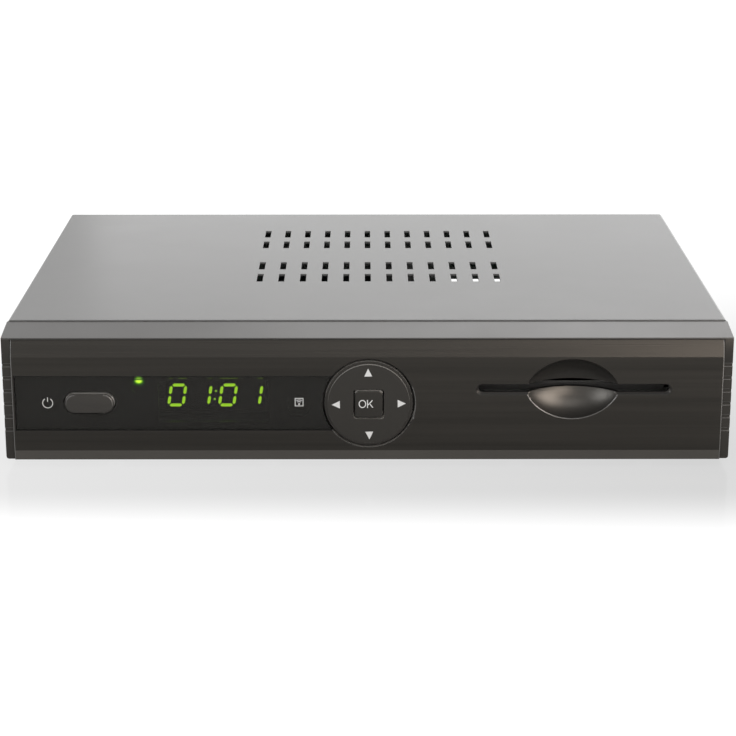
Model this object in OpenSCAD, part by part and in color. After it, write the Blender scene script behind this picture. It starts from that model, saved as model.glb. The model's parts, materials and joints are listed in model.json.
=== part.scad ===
// Table-top digital TV receiver with a brushed front, a lit display and a card slot.
// The frame has +X to the viewer's right, the front facing -Y and +Z up. The origin lies on the ground,
// midway between the foremost key and the rearmost socket.

/* [Case] */
// width over the end cheeks of the bezel
body_w = 220.5; // [214:0.5:240]
// depth from the flat of the fascia to the back of the cover
body_d = 162.6; // [156:0.2:180]
// height from the underside of the case to the top of the cover
case_h = 40.4; // [39.6:0.1:44]
// height of a rubber foot below the case
foot_h = 2.5; // [1.5:0.1:6]
// diameter of a rubber foot
foot_d = 14; // [8:0.5:20]
// distance from the case's side to a foot's centre
foot_inset = 20; // [12:1:40]
// thickness of the folded sheet
sheet_t = 0.8; // [0.6:0.1:1]
// outside radius of the cover's long folds
bend_r = 1.1; // [1.1:0.1:3]
// amount by which the bezel stands out past the cover on each side
cover_inset = 0.1; // [0.1:0.05:0.5]
// gap between pieces of the case that slide together
fit_gap = 0.2; // [0.1:0.05:0.3]
// gap between the fascia and the bezel around it
seam = 0.1; // [0.05:0.05:0.2]
// height of the base tray's upturned sides
tray_side_h = 10; // [6:0.5:16]
// height of the cover's folded rear lip
lip_h = 9; // [7:0.5:11]
// diameter of the shank of the case screws
case_screw_d = 2.9; // [2:0.1:3]

/* [Cover vents] */
// number of vent slots in a row
vent_columns = 12; // [4:1:14]
// spacing of the slots along a row
vent_pitch = 7.1; // [4:0.1:8]
// sideways shift of the vents from the middle
vent_shift = 3.8; // [-8:0.1:8]
// length of a vent slot
vent_l = 10; // [5:0.5:14]
// width of a vent slot
vent_w = 1.9; // [1:0.1:3]
// distance of the front pair of rows behind the fascia
vent_front_y = 74.9; // [60:0.1:85]
// distance of the rear pair of rows behind the fascia
vent_rear_y = 121.8; // [105:0.1:130]
// spacing of the two rows of a pair
vent_row_pitch = 16.4; // [15:0.1:22]
// number of slots in each side of the cover
side_vents = 9; // [3:1:12]

/* [Bezel] */
// depth of the bezel's top, measured from the fascia
bezel_d = 14; // [13.4:0.1:14.2]
// fall of the bezel's top towards the front
nose_drop = 2.1; // [1.6:0.1:2.4]
// setback of the bezel's front lip behind the fascia
nose_y = 1.3; // [0.6:0.1:1.6]
// thickness of the bezel's front lip
nose_t = 0.4; // [0.3:0.05:0.8]
// fall from the cover's top to the rear edge of the bezel's top
bezel_step = 0.4; // [0.2:0.1:0.6]
// thickness of the bezel's walls
wall_t = 2.2; // [1.8:0.1:2.4]
// width of an end cheek
cheek_w = 2.65; // [2:0.05:4]
// setback of the end cheeks behind the fascia
cheek_step = 1.2; // [0.4:0.1:1.6]
// radius of the cheeks' lower corners
cheek_r = 0.9; // [0.4:0.1:1.4]
// number of grooves in a cheek
groove_count = 6; // [2:1:7]
// height of the middle of the lowest groove
groove_first_z = 9.4; // [5:0.1:10]
// spacing of the grooves
groove_pitch = 4.08; // [2:0.02:4.2]
// height of a groove
groove_h = 0.9; // [0.5:0.1:1.5]
// depth of a groove
groove_deep = 0.2; // [0.1:0.05:1]
// distance that a groove runs back along the case's side
groove_l = 8.4; // [3:0.1:11]
// length of the ledge that carries the front of the cover
ledge_l = 4; // [2:0.5:5]

/* [Fascia] */
// thickness of the fascia
fascia_t = 2; // [1.6:0.1:2.4]
// height at which the face starts to lean back
top_band_z = 32.6; // [30:0.1:34]
// setback of the fascia's top edge
top_lean = 1.5; // [0.5:0.1:2]
// height of the lower facet
low_band_z = 3.1; // [1.5:0.1:3.8]
// setback of the fascia's bottom edge
low_lean = 0.4; // [0.3:0.1:1.5]
// height of the line that the controls are centred on
control_z = 18; // [17.8:0.1:19]

/* [Display] */
// width of the fascia left standing beside the window
window_rim = 0.8; // [0.5:0.1:3]
// height of the window
window_h = 17.3; // [14.6:0.1:20]
// setback of the window behind the fascia
window_recess = 0.9; // [0.4:0.05:1.2]
// gap around the window
window_gap = 0.08; // [0.05:0.01:0.15]
// place of the display on the way from the power button to the direction pad
display_share = 0.4444; // [0.43:0.0002:0.46]
// height of a digit
digit_h = 7.3; // [6:0.1:8]
// width of a digit
digit_w = 5.3; // [4:0.1:5.6]
// spacing of the digits
digit_pitch = 7.78; // [7.2:0.02:8.4]
// width of a lit bar
bar_w = 0.9; // [0.7:0.05:1.3]
// gap between the tips of lit bars
bar_gap = 0.3; // [0.1:0.02:0.4]
// lean of the digits
digit_slant = 9; // [0:1:12]
// diameter of a dot of the colon
dot_d = 0.7; // [0.5:0.05:1.2]
// spacing of the dots of the colon
dot_pitch = 2.6; // [2:0.1:4]
// place of the standby light on the way from the power button to the direction pad
led_share = 0.1702; // [0.15:0.0002:0.19]
// height of the standby light
led_z = 22.8; // [21:0.1:23]
// diameter of the standby light
led_d = 3; // [2:0.1:3.2]
// place of the infrared receiver on the way from the power button to the direction pad
sensor_share = 0.7482; // [0.71:0.0002:0.76]

/* [Keys] */
// distance from the window's left end to the middle of the power button
power_inset = 22.5; // [20.5:0.05:23.5]
// width of the power button
power_w = 15.1; // [12:0.1:17]
// height of the power button
power_h = 6.2; // [5:0.1:8]
// gap around the power button
power_gap = 0.35; // [0.3:0.05:0.8]
// middle of the direction pad
pad_x = 0.4; // [-1:0.1:1]
// diameter of the direction pad
pad_d = 26.6; // [26:0.1:26.8]
// gap around the direction pad
pad_gap = 0.7; // [0.5:0.05:0.8]
// amount by which the direction pad stands out of the fascia
pad_proud = 0.6; // [0.2:0.05:1]
// rounding of the direction pad's rim
pad_round = 0.9; // [0.3:0.1:1.2]
// side of the square OK button
ok_w = 8.4; // [7.6:0.1:8.8]
// corner radius of the OK button
ok_r = 1; // [0.6:0.1:1.4]
// gap around the OK button
ok_gap = 0.45; // [0.35:0.05:0.6]
// amount by which the OK button stands out of the direction pad
ok_proud = 0.4; // [0.1:0.05:0.6]
// rounding of the edges of the keys
key_round = 0.45; // [0.2:0.05:0.6]
// stroke of the power and OK buttons
key_stroke = 0.4; // [0.2:0.05:0.5]
// distance from the middle of the direction pad to its switches
pad_switch_r = 11.8; // [11.6:0.1:12]
// diameter of the direction pad's pivot pins
pivot_d = 1.4; // [1:0.1:1.5]
// radial clearance of the direction pad's pivot pins
pivot_fit = 0.05; // [0.02:0.01:0.08]

/* [Card slot] */
// sideways shift of the card slot from the middle of the space beside the direction pad
slot_shift = 1.45; // [0:0.025:2]
// height of the card slot's middle
slot_z = 22.7; // [22:0.1:23.5]
// width of the card slot
slot_w = 57.8; // [56:0.1:60]
// height of the card slot
slot_h = 2.56; // [1.6:0.02:3]
// width of the slanted edge around the card slot
slot_slant = 0.7; // [0.3:0.05:1]
// amount by which the middle of the slanted edge lies below the slot's
slot_drop = 0.25; // [0:0.05:0.4]
// width of the thumb dish
dish_w = 28; // [20:0.1:30]
// height of the thumb dish
dish_h = 18.8; // [16:0.1:19]
// depth of the thumb dish
dish_deep = 7; // [5:0.1:7.6]
// thickness of the dish's bowl
bowl_t = 1.5; // [1:0.1:1.6]

/* [Boards] */
// thickness of a circuit board
board_t = 1.6; // [1:0.1:1.6]
// distance of the front board behind the fascia
front_board_y = 15; // [14.8:0.1:15.4]
// height of the pads under the main board
board_lift = 5; // [4:0.1:6]
// diameter of the shank of the board screws
board_screw_d = 2.5; // [2:0.1:2.6]
// radial clearance of a screw in its hole
screw_fit = 0.08; // [0.05:0.01:0.1]
// side of a push switch
switch_w = 6; // [5:0.1:6.2]
// width of the cable connectors
plug_w = 20; // [16:0.5:22]
// thickness of the flat cables
cable_t = 0.8; // [0.4:0.1:1]

/* [Rear sockets] */
// length of the aerial sockets behind the cover
socket_out = 9; // [7:0.1:11]
// outside diameter of the aerial output
aerial_d = 9.52; // [9.5:0.01:9.55]
// outside diameter of the audio and video sockets
phono_d = 8.3; // [8:0.05:8.5]
// spacing of the audio and video sockets
phono_pitch = 13; // [12:0.1:14]
// length of the audio and video sockets behind the rear panel
phono_l = 8.6; // [7:0.1:9]
// gap around a socket in the rear panel
cutout_gap = 0.35; // [0.2:0.05:0.6]

/* [Hidden] */
$fn = 64;

// a small amount by which cutters run past a face
over = 1;
// lap by which joined shapes of one piece enter each other
lap = 0.2;

// places along the depth, counted from the fascia
ok_front_y = -(pad_proud + ok_proud);
front_y = -(body_d + socket_out + ok_front_y) / 2;
wall_in_y = fascia_t + wall_t;
cover_front_y = bezel_d + fit_gap;
panel_out_y = body_d - sheet_t;
panel_in_y = panel_out_y - sheet_t;
main_rear_gap = 2.5;
main_rear_y = panel_in_y - main_rear_gap;

// outlines seen along X, as pairs of depth and height
nose_z = case_h - nose_drop;
lip_z = nose_z - nose_t;
fascia_h = lip_z - seam;
cheek_x = body_w / 2 - cheek_w;
fascia_w = 2 * (cheek_x - seam);
fascia_line = [[low_lean, 0], [0, low_band_z], [0, top_band_z], [top_lean, fascia_h]];
ledge_top_z = case_h - sheet_t - fit_gap;
ledge_t = 1.5;
ledge_z = ledge_top_z - ledge_t;

// holes for the screws
board_hole_d = board_screw_d + 2 * screw_fit;
case_hole_d = case_screw_d + 2 * screw_fit;

// the cover and the tray
cover_w = body_w - 2 * cover_inset;
tray_w = cover_w - 2 * sheet_t - 2 * fit_gap;
panel_w = tray_w - 2 * sheet_t - 2 * fit_gap;
panel_top_z = case_h - sheet_t - fit_gap / 2;
cover_screw_x = [-70, 0, 70];
cover_screw_z = case_h - sheet_t - lip_h / 2;
bezel_tab_x = [-78, -30, 46, 86];
bezel_tab_w = 14;
bezel_tab_l = 6;
bezel_screw_y = bezel_d - 3.2;
bezel_head_h = 1.1;
bezel_head_d = 5.4;
tray_slots = 11;
tray_slot_pitch = 9;
tray_slot_size = [2.4, 16];
tray_slot_y = [100, 126];
side_vent_pitch = 9;
side_vent_size = [2, 12];
side_vent_y = 92;
side_vent_z = 24;

// places along the width
window_left_x = -fascia_w / 2 + window_rim;
pad_r = pad_d / 2;
pad_hole_r = pad_r + pad_gap;
power_x = window_left_x + power_inset;
power_to_pad = pad_x - power_x;
display_x = power_x + display_share * power_to_pad;
led_x = power_x + led_share * power_to_pad;
sensor_x = power_x + sensor_share * power_to_pad;
slot_x = (pad_x + pad_hole_r + fascia_w / 2) / 2 + slot_shift;
card_board_half = 34.6;
card_board_x = [slot_x - card_board_half, slot_x + card_board_half];

// the window
led_rim = 0.4;
led_hole_d = led_d + 2 * led_rim;
display_size = [31, 10.4];
display_margin = 1.3;
display_hole = [display_size[0] + 2 * display_margin, display_size[1] + 2 * display_margin];
sensor_z = control_z - 1.5;
sensor_hole_d = 7;

// the keys and their switches
key_rest_gap = 0.15;
flange_t = 1;
power_flange_y = wall_in_y + key_rest_gap;
power_rim = 1.15;
pad_rest_gap = 0.65;
pad_flange_y = wall_in_y + pad_rest_gap;
pad_rim = 1.6;
pad_flange_r = pad_r + pad_rim;
pad_back_y = pad_flange_y + flange_t;
ring_t = pivot_d + 1;
ring_gap = 0.55;
ring_in_r = 8.1;
ring_out_r = 9.6;
pivot_y = pad_back_y + ring_gap + ring_t / 2;
pivot_bore_d = pivot_d + 2 * pivot_fit;
lug_gap = 1.1;
lug_in_x = pad_flange_r + lug_gap;
lug_w = 2.2;
lug_h = 5;
pin_short = 0.5;
pin_end_x = lug_in_x + lug_w - pin_short;
pin_start_r = (ring_in_r + ring_out_r) / 2;
pad_pin_r = ring_in_r + 0.2;
post_w = 3;
post_h = 6;
post_pass_gap = 0.6;
post_pass_d = pivot_d + 2 * post_pass_gap;
ok_rest_gap = 0.4;
ok_flange_y = pad_back_y + ok_rest_gap;
ok_rim = 1;
ok_flange_w = ok_w + 2 * ok_rim;
switch_h = 3.5;
switch_front_y = front_board_y - switch_h;
plunger_d = 3.4;
plunger_fit = 0.1;
plunger_out = 1.5;
plunger_top_y = switch_front_y - plunger_out;
plunger_in = 1.9;
plunger_end_y = switch_front_y + plunger_in;
switch_spare = 0.3;
switch_bore_y = plunger_end_y + key_stroke + switch_spare;
pad_post_gap = 0.5;
stem_d = 4;
stem_gap = 0.05;
pad_switch_places = [
    for (a = [0:90:270]) [pad_x + pad_switch_r * cos(a), control_z + pad_switch_r * sin(a)]
];
power_switch_place = [power_x, control_z];
ok_switch_place = [pad_x, control_z];

// the front board
front_board_x = [5 - body_w / 2, card_board_x[0] - 1.1];
front_board_z = [3.4, 33];
front_post_inset = 4;
front_post_places = [
    for (x = [front_board_x[0] + front_post_inset, front_board_x[1] - front_post_inset], z = [8, 28.5]) [x, z]
];
front_post_d = 6;
front_post_floor_y = wall_in_y + 1;
display_t = 6.1;
display_face_y = front_board_y - display_t;
digit_t = 0.15;
led_tip_y = 6.5;
led_base_y = 12;

// the thumb dish is a ball stretched along X, cut by the fascia
dish_x = slot_x - 0.4;
dish_axis_y = (dish_h * dish_h / 4 / dish_deep - dish_deep) / 2;
dish_turn_r = dish_axis_y + dish_deep;
dish_arc_r = (dish_w * dish_w / 4 + dish_deep * dish_deep) / (2 * dish_deep);
dish_z = slot_z - 0.1;
dish_pass = [8, 5];
slot_pass = [3, 2.6];

// the card reader
card_w = 54.6;
card_gap_h = 1.4;
reader_w = 57.6;
reader_h = 7;
reader_y = dish_deep + bowl_t + 2.5;
reader_l = 53;
reader_end_t = 2;
card_board_top_z = slot_z - reader_h / 2;
card_board_y = [reader_y + 2, reader_y + reader_l + 12];
pillar_d = 5;
pillar_inset = 3;
pillar_x = [card_board_x[0] + pillar_inset, card_board_x[1] - pillar_inset];
pillar_y = [card_board_y[0] + 7, card_board_y[1] - 5];
pillar_places = [for (x = pillar_x, y = pillar_y) [x, y]];
contact_x = slot_x + 3;
contact_y = reader_y + reader_l - reader_end_t - 15;
contact_pitch = 2.54;
contact_rows = 7.62;
contact_pocket = [13, 20];
contact_l = 6.5;
contact_size = [0.9, 0.25];

// the main board and what stands on it
main_front_y = card_board_y[1] + 8;
main_board_d = main_rear_y - main_front_y;
main_board_x = body_w / 2 - 6;
main_board_z = sheet_t + board_lift;
main_top_z = main_board_z + board_t;
board_pad_d = 8;
chip_w = 23;
chip_h = 1.8;
sink_w = 28;
sink_base_h = 3;
sink_h = 10;
sink_fins = 8;
sink_fin_t = 1.2;
tuner_share = 0.617;
tuner_x = 26 - main_board_x;
tuner_size = [40, tuner_share * main_board_d, 14];
tuner_t = 0.5;
tuner_rear_y = main_rear_y - 0.5;
aerial_in_x = tuner_x - 11;
aerial_out_x = tuner_x + 11;
aerial_z = main_top_z + tuner_size[2] / 2;
aerial_in_d = aerial_d + 1.6;
aerial_end_y = body_d + socket_out;
aerial_wall = 0.6;
aerial_collar = 0.25;
aerial_floor = 1.5;
phono_rise = 6.6;
phono_z = main_top_z + phono_rise;
phono_side = 6.5;
phono_block_size = [2 * (phono_pitch + phono_side), 12, 12.6];
phono_wall = 0.7;
phono_core_d = phono_d - 2 * phono_wall;
phono_bore_d = 3.3;
phono_start_y = panel_in_y - 6;
phono_floor = 3;
phono_end_y = panel_out_y + phono_l;
phono_core_back = 0.6;
usb_size = [13.1, 16, 5.8];
usb_wall = 0.3;
hdmi_size = [15, 12.5, 6];
hdmi_wall = 0.4;
hdmi_corner = 1.9;
lan_size = [16, 16.5, 13.4];
lan_wall = 0.3;
lan_hole = [11.8, 13, 8.2];
lan_hole_z = 3;
inlet_size = [9, 14, 11];
inlet_bore_d = 6.3;
inlet_pin_d = 2;
inlet_deep = 9.5;
inlet_pin_back = 1;
inlet_rise = 6.5;
inlet_z = main_top_z + inlet_rise;
socket_proud = 0.6;
socket_end_y = panel_out_y + socket_proud;
inlet_step = 5.5;
inlet_x = main_board_x - inlet_step;
lan_step = 17;
lan_x = inlet_x - lan_step;
hdmi_step = 18.5;
hdmi_x = lan_x - hdmi_step;
usb_step = 46;
usb_x = hdmi_x - usb_step;
phono_step = 30;
phono_x = [for (i = [-1, 0, 1]) usb_x - phono_step + i * phono_pitch];
rear_vent_step = 14;
rear_vent_pitch = 8.1;
rear_vent_x = [for (i = [0:2]) hdmi_x - rear_vent_step - i * rear_vent_pitch];
rear_vent_size = [5.5, 3.8];
rear_vent_z = 14;

// places on the main board
chip_x = usb_x;
chip_y = (main_front_y + socket_end_y - usb_size[1]) / 2;
inductor_size = [7, 7, 4];
inductor_pitch = 13;
inductor_first = [36, 20];
inductor_x = [for (i = [0, 1]) main_board_x - inductor_first[0] + i * inductor_pitch];
inductor_y = [for (i = [0, 1]) main_front_y + inductor_first[1] + i * inductor_pitch];
small_cap = [6.3, 7.7];
small_cap_pitch = 9;
small_cap_inset = 52;
small_cap_x = main_board_x - small_cap_inset;
small_cap_y = (inductor_y[1] + inductor_size[1] / 2 + socket_end_y - lan_size[1]) / 2;
large_cap = [8, 11];
large_cap_pitch = 11;
large_cap_step = [65, 20];
large_cap_x = chip_x - large_cap_step[0];
large_cap_y = main_front_y + large_cap_step[1];
memory_size = [13, 10, 1.1];
memory_step = [27, 9];
flash_size = [18, 12, 1.1];
flash_step = [30, -6];
crystal_size = [11, 4.5, 3.5];
crystal_step = [23, 5];
board_edge = 5;
board_rear_edge = 14;
tuner_screw_step = 12;
hdmi_screw_step = 23;
main_screw_places = [
    [board_edge - main_board_x, main_front_y + board_edge], [0, main_front_y + board_edge],
    [main_board_x - board_edge, main_front_y + board_edge],
    [tuner_x + tuner_size[0] / 2 + tuner_screw_step, main_rear_y - board_rear_edge],
    [hdmi_x - hdmi_screw_step, main_rear_y - board_rear_edge],
    [main_board_x - board_edge, main_rear_y - 2 * board_rear_edge]
];

// the flat cables
plug_d = 6;
plug_h = 7.4;
cable_w = plug_w - 3;
cable_bend = 5;
front_plug_x = 35 - body_w / 2;
front_plug_z = 26;
card_plug_x = slot_x + 16;
card_plug_y = card_board_y[1] - 5.5;
main_plug_y = main_front_y + 9;
card_loop_z = 33;

function vent_x(column) = vent_shift + (column - (vent_columns - 1) / 2) * vent_pitch;
function shifted(line, by) = [for (p = line) [p[0] + by, p[1]]];
function reversed(line) = [for (i = [len(line) - 1:-1:0]) line[i]];
function bar_across(x0, x1, z) = [
    [x0, z], [x0 + bar_w / 2, z + bar_w / 2], [x1 - bar_w / 2, z + bar_w / 2],
    [x1, z], [x1 - bar_w / 2, z - bar_w / 2], [x0 + bar_w / 2, z - bar_w / 2]
];
function bar_up(x, z0, z1) = [
    [x, z0], [x + bar_w / 2, z0 + bar_w / 2], [x + bar_w / 2, z1 - bar_w / 2],
    [x, z1], [x - bar_w / 2, z1 - bar_w / 2], [x - bar_w / 2, z0 + bar_w / 2]
];
function leaning(points) = [for (p = points) [p[0] + p[1] * tan(digit_slant), p[1]]];

// places its children in the case's own frame: depth from the fascia, height from the underside
module in_case() {
    translate([0, front_y, foot_h]) children();
}

// stretches an outline of width and height from one depth to another
module through_depth(y0, y1) {
    translate([0, y1, 0]) rotate([90, 0, 0]) linear_extrude(y1 - y0) children();
}

// stretches an outline of depth and height from one side to another
module through_width(x0, x1) {
    translate([x0, 0, 0]) rotate([90, 0, 90]) linear_extrude(x1 - x0) children();
}

// a block given by its two opposite corners
module block(from, to) {
    translate(from) cube(to - from);
}

// a block given by the middle of its base
module standing_block(x, y, z, size) {
    translate([x - size[0] / 2, y - size[1] / 2, z]) cube(size);
}

// a round bar along the depth
module bar_y(place, d, y0, y1) {
    translate([place[0], y1, place[1]]) rotate([90, 0, 0]) cylinder(d = d, h = y1 - y0);
}

// a round bar along the width
module bar_x(y, z, d, x0, x1) {
    translate([x0, y, z]) rotate([0, 90, 0]) cylinder(d = d, h = x1 - x0);
}

// a round bar along the height
module bar_z(x, y, d, z0, z1) {
    translate([x, y, z0]) cylinder(d = d, h = z1 - z0);
}

module round_square(w, h, r) {
    square([w - 2 * r, h], center = true);
    square([w, h - 2 * r], center = true);
    for (x = [-1, 1], y = [-1, 1])
        translate([x * (w / 2 - r), y * (h / 2 - r)]) circle(r);
}

module stadium(w, h) {
    square([w - h, h], center = true);
    for (x = [-1, 1]) translate([x * (w - h) / 2, 0]) circle(d = h);
}

// an upright outline whose two upper corners are round
module arch(w, z0, z1, r) {
    translate([-w / 2, z0]) square([w, z1 - r - z0]);
    translate([r - w / 2, z0]) square([w - 2 * r, z1 - z0]);
    for (s = [-1, 1]) translate([s * (w / 2 - r), z1 - r]) circle(r);
}

// outline of a key seen edge on, its front edges rounded
module key_edge(h, l, r) {
    translate([0, r - h / 2]) square([l, h - 2 * r]);
    translate([r, -h / 2]) square([l - r, h]);
    for (s = [-1, 1]) translate([r, s * (h / 2 - r)]) circle(r);
}

// a disc whose front edge is rounded, its front at depth 0
module soft_disc(disc_r, l, r) {
    rotate([-90, 0, 0]) rotate_extrude() {
        square([disc_r - r, l]);
        translate([0, r]) square([disc_r, l - r]);
        translate([disc_r - r, r]) intersection() {
            circle(r);
            translate([min(0, r - disc_r), -r]) square([2 * r, 2 * r]);
        }
    }
}

// a key whose corners and front edges are rounded, its front at depth 0
module soft_key(w, h, corner, l, r) {
    for (x = [-1, 1], z = [-1, 1])
        translate([x * (w / 2 - corner), 0, z * (h / 2 - corner)]) soft_disc(corner, l, r);
    through_width(corner - w / 2, w / 2 - corner) key_edge(h, l, r);
    if (h > 2 * corner)
        linear_extrude(h - 2 * corner, center = true) rotate(90) key_edge(w, l, r);
}

// a pan head screw pointing down, the seat of its head at the origin
module pan_screw(d, l) {
    head_d = 1.9 * d;
    head_h = 0.6 * d;
    cross = [0.25 * d, 1.2 * d];
    difference() {
        union() {
            cylinder(d = head_d, h = head_h);
            translate([0, 0, -l]) cylinder(d = d, h = l + lap);
        }
        for (a = [0, 90])
            rotate(a) standing_block(0, 0, head_h / 2, [cross[0], cross[1], head_h]);
    }
}

// the shape of the thumb dish, or of its bowl when it is grown
module dish_shape(grow) {
    translate([dish_x, -dish_axis_y, dish_z]) rotate([0, 90, 0]) rotate_extrude($fn = 96)
        intersection() {
            translate([dish_turn_r - dish_arc_r, 0]) circle(dish_arc_r + grow);
            translate([0, -body_w / 2]) square([body_w / 2, body_w]);
        }
}

// the slanted edge around a slot with round ends, from in front of the face to the depth of the slant
module flared_slot(w, h, slant) {
    reach = slant + over;
    half = (w - h) / 2;
    through_width(-half, half)
        polygon([[-over, -h / 2 - reach], [-over, h / 2 + reach], [slant, h / 2], [slant, -h / 2]]);
    for (x = [-half, half])
        translate([x, -over, 0]) rotate([-90, 0, 0]) cylinder(r1 = h / 2 + reach, r2 = h / 2, h = reach);
}

// a bend of flat cable: a quarter of a ring wall, seen edge on
module cable_quarter(y, z, turn) {
    translate([y, z]) rotate(turn) intersection() {
        difference() {
            circle(cable_bend + cable_t / 2);
            circle(cable_bend - cable_t / 2);
        }
        square(2 * cable_bend);
    }
}

module top_cover() color("#6f6e6c") in_case() {
    difference() {
        union() {
            through_depth(cover_front_y, body_d) difference() {
                arch(cover_w, fit_gap, case_h, bend_r);
                arch(cover_w - 2 * sheet_t, fit_gap - over, case_h - sheet_t, bend_r - sheet_t);
            }
            block([-panel_w / 2, panel_out_y, case_h - sheet_t - lip_h],
                [panel_w / 2, body_d, case_h - sheet_t / 2]);
        }
        for (c = [0:vent_columns - 1], y = [vent_front_y, vent_rear_y], s = [-1, 1])
            translate([vent_x(c), y + s * vent_row_pitch / 2, case_h])
                cube([vent_w, vent_l, 4 * sheet_t], center = true);
        for (c = [0:side_vents - 1])
            translate([0, side_vent_y + (c - (side_vents - 1) / 2) * side_vent_pitch, side_vent_z])
                cube([body_w + over, side_vent_size[0], side_vent_size[1]], center = true);
        for (x = cover_screw_x)
            bar_y([x, cover_screw_z], case_hole_d, panel_out_y - over, body_d + over);
    }
}

module base_tray() color("#8d8f90") in_case() {
    side = tray_w / 2;
    difference() {
        union() {
            block([-side, cover_front_y, 0], [side, panel_out_y, sheet_t]);
            for (s = [0, 1]) mirror([s, 0, 0])
                block([side - sheet_t, bezel_d + ledge_l + fit_gap, 0], [side, panel_in_y, tray_side_h]);
            for (x = bezel_tab_x) translate([x, cover_front_y, 0]) {
                block([-bezel_tab_w / 2, 0, 0], [bezel_tab_w / 2, sheet_t, wall_t + sheet_t]);
                block([-bezel_tab_w / 2, -bezel_tab_l, wall_t], [bezel_tab_w / 2, sheet_t, wall_t + sheet_t]);
            }
            for (p = main_screw_places) bar_z(p[0], p[1], board_pad_d, sheet_t / 2, main_board_z);
        }
        for (p = main_screw_places) bar_z(p[0], p[1], board_hole_d, -over, main_board_z + over);
        for (x = bezel_tab_x) bar_z(x, bezel_screw_y, case_hole_d, 0, wall_t + 2 * sheet_t);
        for (c = [0:tray_slots - 1], y = tray_slot_y)
            translate([(c - (tray_slots - 1) / 2) * tray_slot_pitch, y, 0])
                cube([tray_slot_size[0], tray_slot_size[1], 4 * sheet_t], center = true);
    }
}

module rear_panel() color("#5c5c5b") in_case() {
    foot_l = 9;
    gap = cutout_gap;
    difference() {
        union() {
            block([-panel_w / 2, panel_in_y, sheet_t], [panel_w / 2, panel_out_y, panel_top_z]);
            block([-panel_w / 2, panel_in_y - foot_l, sheet_t], [panel_w / 2, panel_out_y, 2 * sheet_t]);
        }
        through_depth(panel_in_y - over, panel_out_y + over) {
            translate([aerial_in_x, aerial_z]) circle(d = aerial_in_d + 2 * aerial_collar + 2 * gap);
            translate([aerial_out_x, aerial_z]) circle(d = aerial_d + 2 * aerial_collar + 2 * gap);
            for (x = phono_x) translate([x, phono_z]) circle(d = phono_d + 2 * gap);
            translate([usb_x - usb_size[0] / 2 - gap, main_top_z - gap])
                square([usb_size[0] + 2 * gap, usb_size[2] + 2 * gap]);
            translate([hdmi_x - hdmi_size[0] / 2 - gap, main_top_z - gap])
                square([hdmi_size[0] + 2 * gap, hdmi_size[2] + 2 * gap]);
            translate([lan_x - lan_size[0] / 2 - gap, main_top_z - gap])
                square([lan_size[0] + 2 * gap, lan_size[2] + 2 * gap]);
            translate([inlet_x - inlet_size[0] / 2 - gap, main_top_z - gap])
                square([inlet_size[0] + 2 * gap, inlet_size[2] + 2 * gap]);
            for (x = rear_vent_x) translate([x, rear_vent_z]) square(rear_vent_size, center = true);
            for (x = cover_screw_x) translate([x, cover_screw_z]) circle(d = case_hole_d);
        }
    }
}

module front_bezel() color("#57544f") in_case() {
    side = body_w / 2;
    cover_in = cover_w / 2 - sheet_t - fit_gap;
    ledge_half = cover_w / 2 - bend_r - fit_gap;
    lip = [[nose_y, lip_z], [nose_y, nose_z], [bezel_d, case_h - bezel_step]];
    frame_outline = concat(
        shifted(fascia_line, fascia_t), [[top_lean + fascia_t, lip_z]], lip,
        [[bezel_d, ledge_z], [wall_in_y, nose_z - wall_t]],
        [[wall_in_y, wall_t], [bezel_d, wall_t], [bezel_d, 0]]
    );
    cheek_outline = concat([[cheek_step, 0], [cheek_step, lip_z - nose_t]], lip, [[bezel_d, 0]]);
    difference() {
        union() {
            through_width(-side, side) polygon(frame_outline);
            block([-ledge_half, bezel_d - lap, ledge_z], [ledge_half, bezel_d + ledge_l, ledge_top_z]);
            for (s = [0, 1]) mirror([s, 0, 0]) {
                through_width(cheek_x, side) polygon(cheek_outline);
                block([cover_in - ledge_t, bezel_d - lap, sheet_t + fit_gap],
                    [cover_in, bezel_d + ledge_l, case_h - bend_r - fit_gap]);
            }
            for (p = front_post_places) bar_y(p, front_post_d, wall_in_y - lap, front_board_y);
            for (s = [-1, 1])
                translate([pad_x + s * (lug_in_x + lug_w / 2), wall_in_y - lap, control_z])
                    block([-lug_w / 2, 0, -lug_h / 2], [lug_w / 2, pivot_y + pivot_d - wall_in_y, lug_h / 2]);
        }
        for (s = [0, 1]) mirror([s, 0, 0]) {
            for (i = [0:groove_count - 1])
                translate([0, 0, groove_first_z + i * groove_pitch]) {
                    block([cheek_x - over, 0, -groove_h / 2],
                        [side + over, cheek_step + groove_deep, groove_h / 2]);
                    block([side - groove_deep, 0, -groove_h / 2], [side + over, groove_l, groove_h / 2]);
                }
            translate([side - cheek_r, 0, 0]) through_depth(0, bezel_d + over) difference() {
                translate([0, -over]) square([cheek_r + over, cheek_r + over]);
                translate([0, cheek_r]) circle(cheek_r);
            }
        }
        for (p = front_post_places) bar_y(p, board_hole_d, front_post_floor_y, front_board_y + over);
        translate([pad_x, 0, 0]) bar_x(pivot_y, control_z, pivot_bore_d, -pin_end_x - over, pin_end_x + over);
        for (x = bezel_tab_x) {
            bar_z(x, bezel_screw_y, bezel_head_d + 4 * screw_fit, -over, bezel_head_h);
            bar_z(x, bezel_screw_y, case_hole_d, -over, wall_t + over);
        }
        through_depth(fascia_t - over, wall_in_y + lap / 2) {
            translate([power_x, control_z]) stadium(power_w + 2 * power_gap, power_h + 2 * power_gap);
            translate([led_x, led_z]) circle(d = led_hole_d);
            translate([display_x, control_z]) square(display_hole, center = true);
            translate([sensor_x, sensor_z]) circle(d = sensor_hole_d);
            translate([pad_x, control_z]) circle(pad_hole_r);
            translate([dish_x, dish_z]) square([dish_w + dish_pass[0], dish_h + dish_pass[1]], center = true);
            translate([slot_x, slot_z]) square([slot_w + slot_pass[0], slot_h + slot_pass[1]], center = true);
        }
    }
}

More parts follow.
